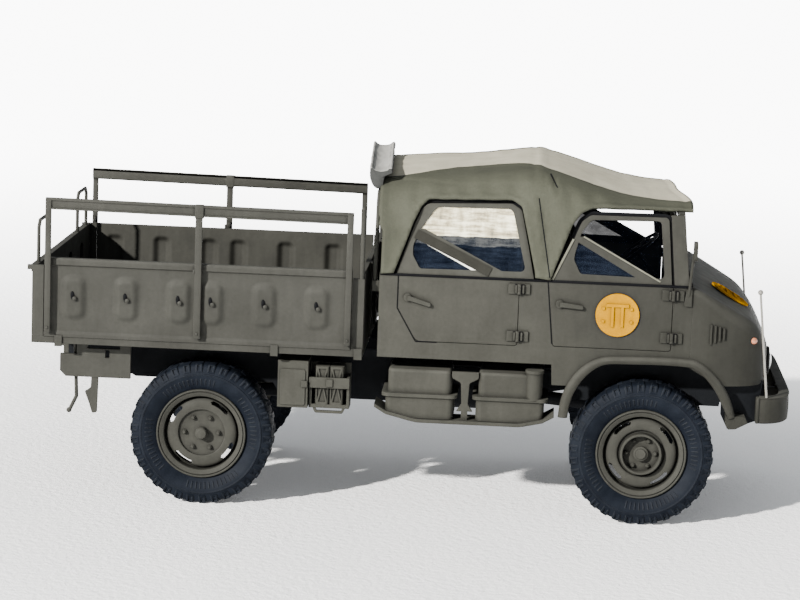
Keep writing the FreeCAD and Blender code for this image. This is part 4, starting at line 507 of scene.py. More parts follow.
# The roll's canvas: pale where it faces up, partly bleaching and partly painted light, with painted shade on
# its ends and underside.
roll_canvas = canvas_paint("roll_canvas_paint", (0.026, 0.027, 0.026), (0.27, 0.267, 0.25))
# Near black for painted shade in gaps, holes and seams.
painted_gap_shade = paint("painted_gap_shade", (0.0012, 0.0014, 0.002), dust_and_top_light=0.0, wear=0.0)
brace_paint = paint("brace_paint", (0.013, 0.0128, 0.0105))
# Pale paint for painted highlights on edges.
painted_highlight_edge = paint("painted_highlight_edge", (0.085, 0.085, 0.066), dust_and_top_light=0.3)
lens_glass = glossy("lens_glass", (0.35, 0.36, 0.35), 0.08)
marker_glass = glossy("marker_glass", (0.34, 0.13, 0.07), 0.25)

slot_of = {part["node"]: part["material_slot"] for part in frame["record"]["subparts"]}
for name, node in frame["nodes"].items():
    node.data.materials.clear()
    node.data.materials.append(looks[slot_of[name]])


# Tyres

TYRE_RADIUS = 13.5
TYRE_HALF = 3.85
LUG_COUNT = 34
# Distance from the middle plane, radius
TYRE_WALL = [(2.7, 8.5), (2.8, 8.68), (3.05, 9.1), (3.36, 9.7), (3.62, 10.3), (3.8, 10.85), (3.84, 11.2),
             (3.93, 11.3), (3.93, 11.5), (3.78, 11.62), (3.66, 12.15), (3.5, 12.72), (3.3, 13.12), (3, 13.32),
             (1.5, 13.38), (0, 13.36)]
LUG_FOOT = 11.9
LUG_LEAN = 1.1
# Ribs on the tyre wall: middles of their four groups, pitch in degrees, radii, height
RIB_ARCS = (15, 105, 195, 285)
RIB_PITCH = 4.7
RIB_RADII = (9.3, 9.45, 9.8, 10.2, 10.5, 10.65)
RIB_PROUD = 0.11
# Across a lug: share of its half width, and how much of the shoulder recess it takes
LUG_ACROSS = [(-1, 0), (-0.86, 0), (-0.52, 0), (-0.42, 1), (0.42, 1), (0.52, 0), (0.86, 0), (1, 0)]
# Along a lug: distance from the middle of the tread, radius, half width in degrees, recess
LUG_ALONG = [(0.1, 13.32, 2, 0), (0.24, 13.46, 2.2, 0), (1.8, TYRE_RADIUS, 2.6, 0), (3.32, 13.48, 2.85, 0),
             (3.56, 13.34, 2.9, 0), (3.7, 12.98, 2.9, 0.45), (3.8, 12.2, 2.9, 0.5)]


def tyre_mesh():
    """Tyre about the Y axis, outer side towards -Y: a turned body, two staggered rows of lugs, and ribs."""
    points, faces = [], []
    profile = [(-y, r) for y, r in TYRE_WALL] + [(y, r) for y, r in reversed(TYRE_WALL[:-1])]

    def add(r, y, degrees):
        angle = math.radians(degrees)
        points.append((r * math.cos(angle), y, r * math.sin(angle)))

    def skin(first, rows, wide, flip):
        for a in (first + wide * k + j for k in range(rows) for j in range(wide - 1)):
            faces.append((a, a + wide, a + wide + 1, a + 1) if flip else (a, a + 1, a + wide + 1, a + wide))

    around, wide = 4 * LUG_COUNT, len(profile)
    for i in range(around):
        for y, r in profile:
            add(r, y, 360 * i / around)
        a, b = i * wide, (i + 1) % around * wide
        faces += [(a + k, b + k, b + (k + 1) % wide, a + (k + 1) % wide) for k in range(wide)]
    for side in (-1, 1):
        for i in range(LUG_COUNT):
            first = len(points)
            for out, radius, half, recess in LUG_ALONG:
                middle = (i + 0.25 * side) * 360 / LUG_COUNT + LUG_LEAN * side * (1 - min(out / 3.3, 1))
                ring = [(share, deep, radius - (0.12 if abs(share) == 1 else 0)) for share, deep in LUG_ACROSS]
                for share, deep, r in [(-1.06, 0, LUG_FOOT)] + ring + [(1.06, 0, LUG_FOOT)]:
                    add(r, side * (out - deep * recess), middle + share * half)
            size = len(LUG_ACROSS) + 2
            skin(first, len(LUG_ALONG) - 1, size, side < 0)
            start, end = range(first, first + size), range(len(points) - size, len(points))
            faces += [tuple(start if side < 0 else reversed(start)), tuple(end if side > 0 else reversed(end))]
    wall = [(r, y) for y, r in TYRE_WALL]
    for side in (-1, 1):
        for middle in [arc + RIB_PITCH * i for arc in RIB_ARCS for i in range(-6, 7)]:
            first = len(points)
            for r in RIB_RADII:
                root = along(wall, r) - 0.05
                proud = along(wall, r) + RIB_PROUD if r not in (RIB_RADII[0], RIB_RADII[-1]) else root
                for half, y in ((-0.75, root), (-0.5, proud), (0.5, proud), (0.75, root)):
                    add(r, side * y, middle + half)
            skin(first, len(RIB_RADII) - 1, 4, side > 0)
    return mesh_of("tyre", [Vector(point) * MM for point in points], faces)


def on_wheels(piece, node, slot, sharp, mesh_at):
    """A copy of the mesh on each wheel, turned about on the left side."""
    for end in ("rear", "front"):
        mesh = mesh_at(end)
        for side in ("right", "left"):
            name = end + "_" + side
            copy = finish_piece(mesh.copy(), piece + name, slot, None, node + name, sharp, "wheel_" + name)
            copy.matrix_world = (Matrix.Translation(centre_of("tyre_" + name) * MM)
                                 @ Matrix.Rotation(math.pi if side == "left" else 0, 4, "Z"))


def tyres():
    mesh = tyre_mesh()
    on_wheels("tread_tyre_", "tyre_", "rubber", 32, lambda end: mesh)


# Wheel discs: radius and depth behind the outer face of the tyre

DISC_EDGE = [(4.38, 1.92), (4.42, 1.55), (4.55, 1.46), (5.1, 1.4), (5.75, 1.5), (5.95, 1.55), (6.25, 1.64),
             (6.45, 1.72), (6.6, 1.85), (6.68, 2.1), (6.7, 2.6), (6.85, 2.75), (7, 2.7), (7.06, 2.5),
             (7.1, 1.05), (7.16, 0.95), (7.75, 0.62), (7.9, 0.58), (7.98, 0.74), (8.06, 0.74), (8.12, 0.55),
             (8.25, 0.47), (8.42, 0.5), (8.5, 0.62), (8.5, 7.08), (8.4, 7.2), (7.45, 7.15), (7.35, 3.2),
             (6.7, 3.15), (6.5, 2.3), (6.45, 2.3), (6.25, 2.25), (5.95, 2.2), (5.75, 2.15), (4.3, 2.5),
             (2.3, 2.5), (2.3, 7.4), (1.25, 7.4), (1.25, 4.5), (0.02, 4.5)]
REAR_HUB = [(0.02, 0.1), (0.6, 0.12), (0.95, 0.22), (1.1, 0.42), (1.15, 0.6), (1.15, 1.9), (1.3, 1.95),
            (4.3, 1.95)]
FRONT_HUB = [(0.02, 0.5), (0.85, 0.52), (0.95, 0.62), (1, 0.85), (1.25, 0.88), (1.38, 1), (1.38, 1.9),
             (1.45, 1.95), (3.38, 1.95), (3.45, 0.32), (3.52, 0.2), (3.8, 0.2), (3.88, 0.32), (3.93, 1.9),
             (4.3, 1.98)]
# A column of faces every two degrees. A slot opens three bands of them, between these points of the profile
COLUMNS = 180
SLOT_HALF = 9
SLOT_EDGES = [(4, 33), (5, 32), (6, 31), (7, 30)]
# Hub profile, column of the first slot, radius of the nuts' circle
WHEELS = {"rear": (REAR_HUB, 28, 3.23), "front": (FRONT_HUB, 19, 2.75)}
NUT = [(0, 0.44), (0.5, 0.44), (0.56, 0.36), (0.56, 0.26), (0.8, 0.24), (0.82, 0.02)]


def wheel_mesh(end):
    hub, first_slot, circle = WHEELS[end]
    profile = hub + DISC_EDGE
    wide = len(profile)
    edges = [(len(hub) + top, len(hub) + under) for top, under in SLOT_EDGES]
    points, faces = [], []
    for i in range(COLUMNS):
        angle = 2 * math.pi * i / COLUMNS
        ring = [(r * math.cos(angle), depth - TYRE_HALF, r * math.sin(angle)) for r, depth in profile]
        points += map(Vector, ring)
    open_cells = set()
    for quarter in range(4):
        for step in range(-SLOT_HALF, SLOT_HALF):
            column = (first_slot + COLUMNS // 4 * quarter + step) % COLUMNS
            bands = (1,) if step in (-SLOT_HALF, SLOT_HALF - 1) else (0, 1, 2)
            open_cells |= {(column, band) for band in bands}
    for i in range(COLUMNS):
        a, b = i * wide, (i + 1) % COLUMNS * wide
        skipped = set()
        for band in [band for band in range(3) if (i, band) in open_cells]:
            skipped |= {edges[band][0], edges[band + 1][1]}
            for (top, under), beyond in ((edges[band], band - 1), (edges[band + 1], band + 1)):
                if (i, beyond) not in open_cells:
                    faces.append((a + top, b + top, b + under, a + under))
            for column, beside in ((a, i - 1), (b, i + 1)):
                if (beside % COLUMNS, band) not in open_cells:
                    (top, under), (next_top, next_under) = edges[band:band + 2]
                    faces.append(tuple(column + k for k in (top, next_top, next_under, under)))
        faces += [(a + k, a + k + 1, b + k + 1, b + k) for k in range(wide - 1) if k not in skipped]
    parts = [(points, faces)]
    for i in range(6):
        angle = math.radians(60 * i)
        spot = (circle * math.cos(angle), 2.0 - TYRE_HALF, circle * math.sin(angle))
        parts.append(turned(NUT, spot, (0, -1, 0), 6))
    points, faces = joined(parts)
    mesh = mesh_of("wheel", [point * MM for point in points], faces)
    solid = bmesh.new()
    solid.from_mesh(mesh)
    bmesh.ops.recalc_face_normals(solid, faces=solid.faces[:])
    solid.to_mesh(mesh)
    solid.free()
    return mesh


def wheel_discs():
    on_wheels("pressed_disc_", "wheel_disc_", "wheel_paint", 28, wheel_mesh)


# Canvas hood: one sheet, drawn flat as (x, way round from the right edge to the left), then bent over the cab

# Roof line: x, height above the belt line
ROOF = [(-50.1, 17.1), (-40.5, 17.9), (-32.1, 18.7), (-21.5, 19.8), (-14.7, 18.3), (-8.9, 16.5), (-2.9, 15.2),
        (6.7, 14.5)]
# Edge of the bleached roof and side edge of the roof panel: distance from the middle along the truck
BLEACHED = [(-50.2, 19), (-44, 16.2), (-37, 12), (-29, 11.4), (-24, 13), (-20.5, 15.8), (-14, 16.8), (8, 16.6)]
PANEL_SEAM = [(-50.2, 18.6), (-42.3, 20.3), (-36, 22), (-23, 22.9)]
# Outlines of the openings over the doors: x, height above the belt line, and the radius of a rounded corner
REAR_OPENING = [(-47.6, -2), (-47.5, 0.2), (-44.2, 9.5, 4), (-42.9, 12.6, 1.5), (-41.6, 13.9, 1.2),
                (-25.9, 14.4, 1.2), (-24.2, 13.3, 1.2), (-22.5, 6.4, 8), (-21.3, 1.4), (-21, -2)]
FRONT_OPENING = [(-18.5, -2), (-18.3, 0.5), (-14.6, 10.6, 4), (-13.2, 12.5, 1.2), (-11.1, 13.5, 1.2),
                 (0.2, 13.4, 3), (5.4, 13.3), (9.5, 13.3), (9.5, -2)]
HOOD_REAR, HOOD_FRONT = CAB_REAR + 0.2, 7.7
WAY_ROUND = 100.0
HOOD_STEP = 0.62
CANVAS_THICK = 0.62
HEM = 0.24


def roof_height(x):
    at, heights = zip(*ROOF)
    return eased(at, heights, min(max(x, at[0]), at[-1]))


def along(line, x):
    """Value at x of a broken line."""
    i = min(max(bisect_right([p[0] for p in line], x) - 1, 0), len(line) - 2)
    t = (x - line[i][0]) / (line[i + 1][0] - line[i][0])
    return line[i][1] + (line[i + 1][1] - line[i][1]) * t


def hood_front(y):
    """The front edge lies askew: its left end is a little further back."""
    return HOOD_FRONT - 2.3 * smoothstep(-18.5, -1.0, y) - 0.6 * smoothstep(0.0, 17.0, y)


@cache
def hood_section(x):
    """The hood's curve across the truck at x, from its right edge to its left one."""
    top = roof_height(x)
    half = CAB_SIDE + 0.45
    right = [(-half, 0.0), (-half + 6 * math.tan(LEAN), 6.0), (-half + (top - 5.4) * math.tan(LEAN), top - 5.4),
             (-CAB_SIDE + 4.9, top - 1.9), (-CAB_SIDE + 9.3, top - 0.3)]
    return Curve(right + [(0.0, top + 0.4)] + [(-y, z) for y, z in reversed(right)])


def way_to(section, height):
    """How far round the section its right side reaches a height."""
    low, high = 0.0, 0.42
    for _ in range(24):
        middle = (low + high) / 2
        low, high = (middle, high) if section.point(middle).y < height else (low, middle)
    return low * WAY_ROUND


def hood_outline():
    """Edge of the flat sheet, with the door openings as notches in both long sides."""
    edge = [Vector((HOOD_REAR, 0.0))]
    for opening in (REAR_OPENING, FRONT_OPENING):
        for point in divided(rounded(opening), 0.5):
            if point.y > 0.0 and point.x < HOOD_FRONT:
                edge.append(Vector((point.x, way_to(hood_section(point.x), point.y))))
    low = edge[-1].y
    edge.append(Vector((HOOD_FRONT, low)))
    return edge + [Vector((p.x, WAY_ROUND - p.y)) for p in reversed(edge)]


def bell(t):
    return math.exp(-t ** 2)


def wavy(x, y, z):
    return noise(Vector((x, y, z)))


def hood_relief(x, way, y, z):
    """How far the canvas stands out at a point: soft waves, folds under the middle bow, seams and a pleat."""
    side = smoothstep(19.0, 25.0, abs(y))
    out = 0.16 * wavy(x * 0.16, way * 0.1, 1.0) + 0.07 * wavy(x * 0.5, way * 0.4, 7.0)
    hang = side * smoothstep(BELT + 2, BELT + 12, z)
    out += 0.16 * hang * math.sin(1.35 * x + 0.28 * z + 1.6 * wavy(x * 0.2, z * 0.1, 3.0))
    out += 0.3 * bell((x + 21.2) / 1.3) * (1 - 0.6 * side)
    fold = x + 21.0 + 0.17 * (z - 47.0)
    depth = 0.42 * smoothstep(BELT, BELT + 1, z) * (1 - smoothstep(46.5, 48.0, z))
    out -= depth * side * bell(fold / 0.16)
    out += 0.2 * side * bell((fold + 0.7) / 0.5) * (1 - smoothstep(46.5, 48.5, z))
    if z > 47.0:
        pleat = (x + 18.7 - 0.3 * (50.5 - z)) / 0.35
        pleat = 0.38 * bell((pleat + 1.4) / 1.2) - 0.5 * bell(pleat / 0.8)
        out += pleat * bell((z - 49.6) / 1.7) * smoothstep(16.0, 20.0, abs(y))
    if x < -22.5:
        seam = along(PANEL_SEAM, x)
        out += 0.16 * (1 - smoothstep(seam - 0.1, seam + 0.3, abs(y)))
    return out + 0.22 * bell((abs(y) - along(BLEACHED, x) - 1.2) / 1.1)


def tree_of(spots):
    tree = KDTree(len(spots))
    for i, spot in enumerate(spots):
        tree.insert(spot, i)
    tree.balance()
    return tree


def bent(spot):
    """Place over the cab of a point of the flat sheet."""
    y, z = hood_section(spot.x).point(spot.y / WAY_ROUND)
    return Vector((spot.x, y, z + BELT))


def canvas_hood():
    edge = divided(hood_outline(), HOOD_STEP)
    flat_edge, hem = tree_of([point.to_3d() for point in edge]), tree_of([bent(point) for point in edge])
    length = HOOD_FRONT - HOOD_REAR
    columns, rows = int(length / HOOD_STEP), int(WAY_ROUND / HOOD_STEP)
    spots = list(edge)
    for i in range(1, columns):
        for k in range(1, rows):
            spot = Vector((HOOD_REAR + length * i / columns, WAY_ROUND * (k + (0.5 if i % 2 else 0)) / rows))
            if flat_edge.find(spot.to_3d())[2] > 0.35:
                spots.append(spot)
    flat, _, faces, *_ = delaunay_2d_cdt(spots, [], [list(range(len(edge)))], 1, 1e-5)
    mesh = mesh_of("canvas_sheet", [place(bent(spot)) for spot in flat], faces)
    solid = bmesh.new()
    solid.from_mesh(mesh)
    bmesh.ops.delete(solid, geom=[v for v in solid.verts if not v.link_faces], context="VERTS")
    solid.normal_update()
    if sum(face.normal.z for face in solid.faces) < 0:
        bmesh.ops.reverse_faces(solid, faces=solid.faces[:])
        solid.normal_update()
    bleached, moves = [], []
    for vert in solid.verts:
        here = vert.co / MM - AXLE
        bleached.append(smoothstep(-1.2, 1.2, along(BLEACHED, here.x) - abs(here.y)))
        gap = hem.find(here)[2]
        out = hood_relief(here.x, 0.0 if here.y < 0 else WAY_ROUND, here.y, here.z) * smoothstep(0.0, 1.5, gap)
        moves.append(vert.normal * (out + HEM * (1 - smoothstep(0.85, 1.2, gap))) * MM)
    for vert, move in zip(solid.verts, moves):
        vert.co += move
        here = vert.co / MM - AXLE
        short = (HOOD_FRONT - hood_front(here.y)) * smoothstep(-6.0, HOOD_FRONT, here.x)
        back = smoothstep(-45.0, -50.0, here.x) if here.x > -50.0 else 1.0
        vert.co.x -= (short + 0.85 * back * smoothstep(40.2, 41.6, here.z)) * MM
    solid.to_mesh(mesh)
    solid.free()
    mesh.attributes.new("bleached", "FLOAT", "POINT").data.foreach_set("value", bleached)
    hood = finish_piece(mesh, "canvas_sheet", "canvas", replaces="canvas_hood", sharp=0)
    thick = hood.modifiers.new("thickness", "SOLIDIFY")
    thick.thickness = CANVAS_THICK * MM
    thick.offset = -1.0


# Rolled rear curtain

ROLL_END = [(-2.9, 1.9), (-2.85, 0.4), (-2.5, -0.9), (-1.8, -1.8), (-0.9, -2.1), (-0.3, -1.6), (-0.15, -0.4),
            (0.1, 0.5), (0.9, 0.8), (1.5, 1.2), (1.45, 1.9), (1.1, 2.05), (0.5, 1.62), (-0.4, 1.38),
            (-1.4, 1.4), (-2.2, 1.7), (-2.6, 2.05)]
ROLL_AROUND = 64
ROLL_STATIONS = 70


def rolled_curtain():
    low, high = corners_of("rolled_curtain")
    loop = Curve(ROLL_END + ROLL_END[:1])
    middle = Vector((-1.1, -0.1))
    ends = [(0.0, 0.35), (0.0, 0.75), (0.0, 0.93), (0.008, 1.0)]
    stations = ends + [(0.02 + 0.96 * i / ROLL_STATIONS, 1.0) for i in range(ROLL_STATIONS + 1)]
    rings = []
    for share, size in stations + [(1.0 - share, size) for share, size in reversed(ends)]:
        y = low.y + (high.y - low.y) * share
        bulge = 0.28 * (1 - size) * (-1 if share < 0.5 else 1)
        ring = []
        for i in range(ROLL_AROUND):
            spot = loop.point(i / ROLL_AROUND)
            wave = 0.1 * wavy(spot.x * 0.9, y * 0.22, spot.y * 0.9)
            wave += 0.05 * wavy(spot.x * 2.0, y * 0.9, spot.y * 2.0)
            out = middle + (spot - middle) * size * 0.985 + (spot - middle).normalized() * wave * size
            ring.append((CAB_REAR + out.x - 2.1 * share, y + bulge, BELT + ROOF[0][1] + out.y + 0.3 * share))
        rings.append(ring)
    make_piece("curtain_roll", flipped(skin(rings)), "canvas", roll_canvas, "rolled_curtain", 50)


# Head lamps and markers

LAMP = (22.8, -17.4, 17.35)


def head_lamps():
    """Dark rim, clear domed lens and a bright bowl behind it, with the marker lamps on the nose."""
    rim = [(-2.0, 2.25), (0.1, 2.35), (0.2, 2.62), (0.45, 2.72), (0.66, 2.6), (0.7, 2.3), (0.5, 2.02),
           (0.25, 2.0)]
    turns = map(math.radians, (84, 70, 55, 40, 25, 12, 2))
    dome = [(0.35 + 0.85 * math.cos(a), 2.0 * math.sin(a)) for a in turns]
    bowl = [(0.2, 2.0), (-0.3, 1.7), (-0.8, 1.1), (-1.0, 0.05)]
    for name, profile, look, node, sharp in (("lamp_rims", rim, None, "head_lamps", 30),
                                             ("lamp_lenses", [(0.3, 2.05)] + dome, lens_glass, None, 40),
                                             ("lamp_bowls", bowl, lens_glass, None, 40)):
        make_piece(name, both_sides(turned(profile, LAMP, (1, 0, 0))), "lamp", look, node, sharp)
    marker = turned([(-0.6, 0.62), (0.1, 0.62), (0.3, 0.55), (0.42, 0.35), (0.46, 0.04)], (19.9, -25.1, 22.3),
                    (0.55, -0.8, 0.2), 24)
    make_piece("marker_lamps", both_sides(marker), "lamp", marker_glass, sharp=30)


# Pressed bed sides with soft pads, and the hooks on them

BED_SIDE = corners_of("bed_side_right")
BED_FACE = corners_of("bed_floor")[1].y - 0.3
TAILGATE_TOP = corners_of("bed_corner_posts")[0].z + 13.4
PAD_WIDTH, PAD_HEIGHT, PAD_CORNER, PAD_PROUD = 4.9, 8.6, 1.9, 0.6
PAD_Z = BED_SIDE[1].z - 7.35
BED_MIDDLE = (BED_SIDE[0].x + BED_SIDE[1].x) / 2
# The left side and its rail sit further back than the right ones
LEFT_PADS_BACK, LEFT_RAIL_BACK = 1.8, 1.6
PADS = [BED_MIDDLE - 0.4 + side * (3.05 + i * 9.875) for side in (-1, 1) for i in range(3)]


def pad_relief(x, z, inset, shift):
    """1 on a pad, 0 off it, with soft flanks."""
    best = 9.0
    for middle in PADS:
        a = abs(x - middle - shift) - (PAD_WIDTH / 2 - PAD_CORNER)
        b = abs(z - PAD_Z) - (PAD_HEIGHT / 2 - PAD_CORNER)
        best = min(best, math.hypot(max(a, 0), max(b, 0)) + min(max(a, b), 0) - PAD_CORNER + inset)
    return 1.0 - smoothstep(-1.25, 0.15, best)


def pressed_side(name, node, side, top):
    low, high = BED_SIDE
    columns, rows = 230, 60
    points, faces = [], []
    for inside in (0, 1):
        for k in range(rows + 1):
            z = low.z + (top - low.z) * k / rows
            for i in range(columns + 1):
                x = low.x + (high.x - low.x) * i / columns
                pad = pad_relief(x, z, 0.55 * inside, -LEFT_PADS_BACK if side > 0 else 0.0)
                rim = 0.35 * smoothstep(top - 1.48, top - 1.32, z) * (1 - 0.5 * smoothstep(top - 0.3, top, z))
                foot = 0.16 * (1 - smoothstep(low.z + 0.85, low.z + 1.0, z))
                out = 0.92 * pad - 0.9 if inside else max(PAD_PROUD * pad, rim, foot)
                dent = 0.05 * wavy(x * 0.12, z * 0.15, 2.0 + side)
                points.append(Vector((x, side * (BED_FACE + out + dent), z)))
    wide = columns + 1
    sheet = wide * (rows + 1)
    for a in (k * wide + i for k in range(rows) for i in range(columns)):
        faces.append((a, a + 1, a + 1 + wide, a + wide))
        faces.append(tuple(sheet + j for j in (a, a + wide, a + 1 + wide, a + 1)))
    border = (list(range(wide)) + [k * wide + columns for k in range(1, rows + 1)]
              + [rows * wide + i for i in reversed(range(columns))]
              + [k * wide for k in reversed(range(1, rows))])
    faces += [(b, a, a + sheet, b + sheet) for a, b in zip(border, border[1:] + border[:1])]
    part = points, faces
    make_piece(name, flipped(part) if side > 0 else part, "bed_paint", replaces=node, sharp=35)


def bed_sides():
    pressed_side("pressed_side_right", "bed_side_right", -1, BED_SIDE[1].z)
    pressed_side("pressed_side_left", "bed_side_left", 1, TAILGATE_TOP)
    knobs, slots = [], []
    face = -BED_FACE - PAD_PROUD
    for x in PADS:
        knobs.append(turned([(-0.2, 0.26), (0.2, 0.26), (0.26, 0.4), (0.45, 0.42), (0.6, 0.3), (0.66, 0.03)],
                            (x + 0.28, face, PAD_Z - 0.05), (0, -1, 0), 20))
        ring, rest = turned([(-0.1, 0.36), (0.08, 0.36), (0.16, 0.28), (0.18, 0.03)],
                            (0, face, 0), (0, -1, 0), 18)
        ring = [Vector((x - 0.12 + p.x - 0.18 * p.z, p.y, PAD_Z + 0.42 + p.z * 2.4)) for p in ring]
        slots.append((ring, rest))
    make_piece("lashing_knobs", both_sides(*knobs), "bed_paint")
    # The slots are near-black rings: painted shade above the knobs.
    make_piece("lashing_slots", both_sides(*slots), "bed_paint", painted_gap_shade)


# Rails above the bed

def rail_frame(side, shift, rear_rise, front_rise):
    """One side rail: a flat bar with two lips on three flat posts that stand off the bed side."""
    low, high = corners_of("side_rails")
    out, inner, foot, top = high.y, high.y - 0.8, low.z, high.z
    middle, wall_top = (low.x + high.x) / 2 + 0.1, BED_SIDE[1].z
    parts = [bar((low.x, inner, top - 2.05), (high.x, out - 0.16, top), 0.06),
             bar((low.x, inner, top - 0.5), (high.x, out + 0.03, top + 0.04), 0.1),
             bar((low.x, inner, top - 2.14), (high.x, out, top - 1.82), 0.08),
             bar((middle - 0.9, inner - 0.06, top - 2.4), (middle + 0.75, out + 0.16, top + 0.12), 0.1)]
    for x0, x1 in ((low.x, low.x + 1.15), (middle - 0.75, middle + 0.55), (high.x - 1.15, high.x)):
        parts.append(bar((x0, out - 0.42, foot), (x1, out + 0.05, top - 0.1), 0.1))
        for z in (foot + 0.1, wall_top - 1.2):
            parts.append(bar((x0 + 0.3, BED_FACE - 0.1, z), (x1 - 0.3, out - 0.3, z + 0.9), 0.06))
        parts.append(turned([(0.0, 0.24), (0.14, 0.24), (0.2, 0.12), (0.2, 0.02)],
                            ((x0 + x1) / 2, out + 0.04, foot + 0.9), (0, 1, 0), 12))
    parts.append(bar((middle - 1.05, out - 0.45, wall_top - 1.7),
                     (middle - 0.7, out + 0.1, wall_top - 0.9), 0.08))
    points, faces = joined(parts)
    for point in points:
        share = (point.x - low.x) / (high.x - low.x)
        rise = rear_rise + (front_rise - rear_rise) * share
        point.z += rise * smoothstep(wall_top, top - 3.0, point.z)
        point.x += shift
    return (points, faces) if side > 0 else mirrored((points, faces))


def rails():
    """The left rail of the model sits a little lower and further back than the right one."""
    right, left = rail_frame(-1, 0.0, 0.4, -0.1), rail_frame(1, -LEFT_RAIL_BACK, -1.25, -2.05)
    make_piece("bed_rails", joined([right, left]), "bed_paint", replaces="side_rails", sharp=30)


# Cab trim

REAR_FRAME = [(-47, 0), (-44, 9.4, 6), (-42.7, 12.4, 1.5), (-41.6, 13.4, 1.5), (-26, 14, 1.2),
              (-24.2, 12.9, 1.2), (-22.7, 6.3, 8), (-21.4, 0)]


def on_window(x, height, depth):
    """Place in the right side's leaning window plane: height above the belt line, depth inwards."""
    return Vector((x, -CAB_SIDE + height * math.sin(LEAN) + depth * math.cos(LEAN),
                   BELT + height * math.cos(LEAN) - depth * math.sin(LEAN)))


def ribbon(line, near, far, depth, thick):
    """Band along a line in the window plane, between two offsets from the line."""
    line = [Vector(p) for p in line]
    rings = []
    for i, here in enumerate(line):
        way = (line[min(i + 1, len(line) - 1)] - line[max(i - 1, 0)]).normalized()
        out = Vector((-way.y, way.x))
        corners = ((near, depth), (far, depth), (far, depth + thick), (near, depth + thick))
        rings.append([on_window(*(here + out * offset), deep) for offset, deep in corners])
    return skin(rings)


FRONT_FRAME = [(-18, 0), (-14.4, 7.7, 6), (-13, 11.2, 2), (-11.4, 12.5, 1.6), (3.1, 12.6, 0.8), (4.1, 0)]
REAR_PANE = [(-42.7, 1.2, 0.8), (-44.1, 3.7, 2), (-44.1, 5.6, 2), (-42.7, 8.7, 4), (-40, 12.8, 1.8),
             (-25.9, 13, 1.2), (-23, 1.4, 0.8)]
FRONT_PANE = [(-12.9, 1.5, 0.8), (-14.2, 4.1, 1.5), (-14, 5.4, 1.5), (-12.9, 9.4, 3), (-11.2, 11.6, 1.2),
              (1.7, 11.9, 0.8), (2.7, 1.2, 0.8)]


def door_gap_shade():
    """Near-black strips of painted shade in the gaps round the door frames, and dark linings inside them."""
    parts = [ribbon(rounded(REAR_FRAME, 0.4), -0.5, 1.5, 0.85, 0.3),
             ribbon(rounded(FRONT_FRAME, 0.4), -0.4, 0.72, 0.5, 0.3)]
    for pane in (REAR_PANE, FRONT_PANE):
        line = rounded(pane, 0.5)
        parts.append(ribbon(line + line[:1], -0.02, 1.1, 1.0, 0.15))
    for brace in ([(-43.4, 8.6), (-27.7, 0.6)], [(-13.9, 8.4), (0.2, 0.6)]):
        parts.append(ribbon(brace, -1.1, 1.1, 1.0, 0.15))
    make_piece("door_gap_shade", both_sides(*parts), "canvas", painted_gap_shade)


def painted_highlight_edges():
    """Painted highlights: pale strips on the top of the front brace and the rear legs of the window frames."""
    front = [point for point in rounded(FRONT_FRAME, 0.4) if point.x < -13.2 and point.y < 10.8]
    rear = [point for point in rounded(REAR_FRAME, 0.4) if point.x < -44.6]
    parts = [ribbon([(-12.6, 8.35), (1.9, 0.55)], -0.05, 0.24, -0.04, 0.5),
             ribbon(front, -0.12, 0.28, -0.08, 0.4), ribbon(rear, -0.12, 0.2, -0.08, 0.4)]
    make_piece("painted_highlight_strips", both_sides(*parts), "body_paint", painted_highlight_edge)


def belt_gap_shade():
    """Painted shade: a near-black strip in the seam under the windows."""
    parts = [bar((x0, -CAB_SIDE - 0.13, BELT - 0.34), (x1, -CAB_SIDE + 0.3, BELT + 0.12), 0.05)
             for x0, x1 in ((CAB_REAR + 0.1, -18.9), (-18.7, 7.9))]
    make_piece("belt_gap_shade", both_sides(*parts), "body_paint", painted_gap_shade)


def wheel_house_panels():
    """Dark panels behind the wheels and between front arch and bumper."""
    front = [(-14.6, 8.0), (14.6, 8.0), (16.0, 17.0), (-14.6, 17.0)]
    rear = [(-99.6, 9.9), (-97.0, 8.5), (-70.5, 8.5), (-69.0, 6.0), (-47.0, 6.0), (-47.0, 15.8), (-99.6, 15.8)]
    apron = [(14.5, 8.0), (15.9, 5.2), (17.2, 5.2), (20.0, 6.3), (21.2, 6.7), (22.2, 14.4), (14.5, 14.4)]
    parts = [plate(front, -17.4, 0.5), plate(rear, -16.6, 0.5), plate(apron, -27.79, 0.5, 0.22)]
    make_piece("wheel_house_panels", both_sides(*parts), "chassis_paint", sharp=30)


# Front wheel-arch lips, hinge knuckles, painted shade round the knuckles and in the door gaps, and the darker
# braces

ARCH_OUTER = [(-15.8, 6.6), (-15.4, 9.8), (-14.5, 12.5), (-12.8, 15.2), (-10.8, 17), (-8.3, 18.2),
              (-4.8, 18.6), (8.2, 18.6), (11, 17.5), (13.7, 14.95), (15.7, 11.8), (17, 8.2)]
ARCH_INNER = [(-14.1, 6.6), (-13.8, 8.8), (-13.2, 11), (-11.7, 13.7), (-9.7, 15.8), (-7.7, 16.9), (-4.4, 17.2),
              (8, 17.15), (10.4, 15.9), (12.9, 13.1), (14.6, 10), (15.7, 7.8)]
# Section of the lip: share of the way from the outer to the inner edge, y
ARCH_SECTION = [(-0.06, -27.2), (0.04, -27.75), (0.2, -28.02), (0.45, -28.2), (0.7, -28.15), (0.92, -27.95),
                (1, -27.6), (1, -25), (0.86, -25), (0.8, -27.15)]
ARCH_STATIONS = 110
ARCH_FOOT = [(15.3, 8.3), (18.9, 8.2), (19.4, 7.1), (17.2, 5.9), (15.9, 5.8), (15.3, 6.6)]
HINGES = [(-24, 30.5), (-24, 21.6), (4.5, 30.5), (4.5, 22.5)]
DOOR_GAPS = [[(-46.6, BELT), (-46.6, BELT - 6.4), (-43.0, 19.7), (-39.0, 19.7)], [(-18.8, BELT), (-17.6, 20.4)]]


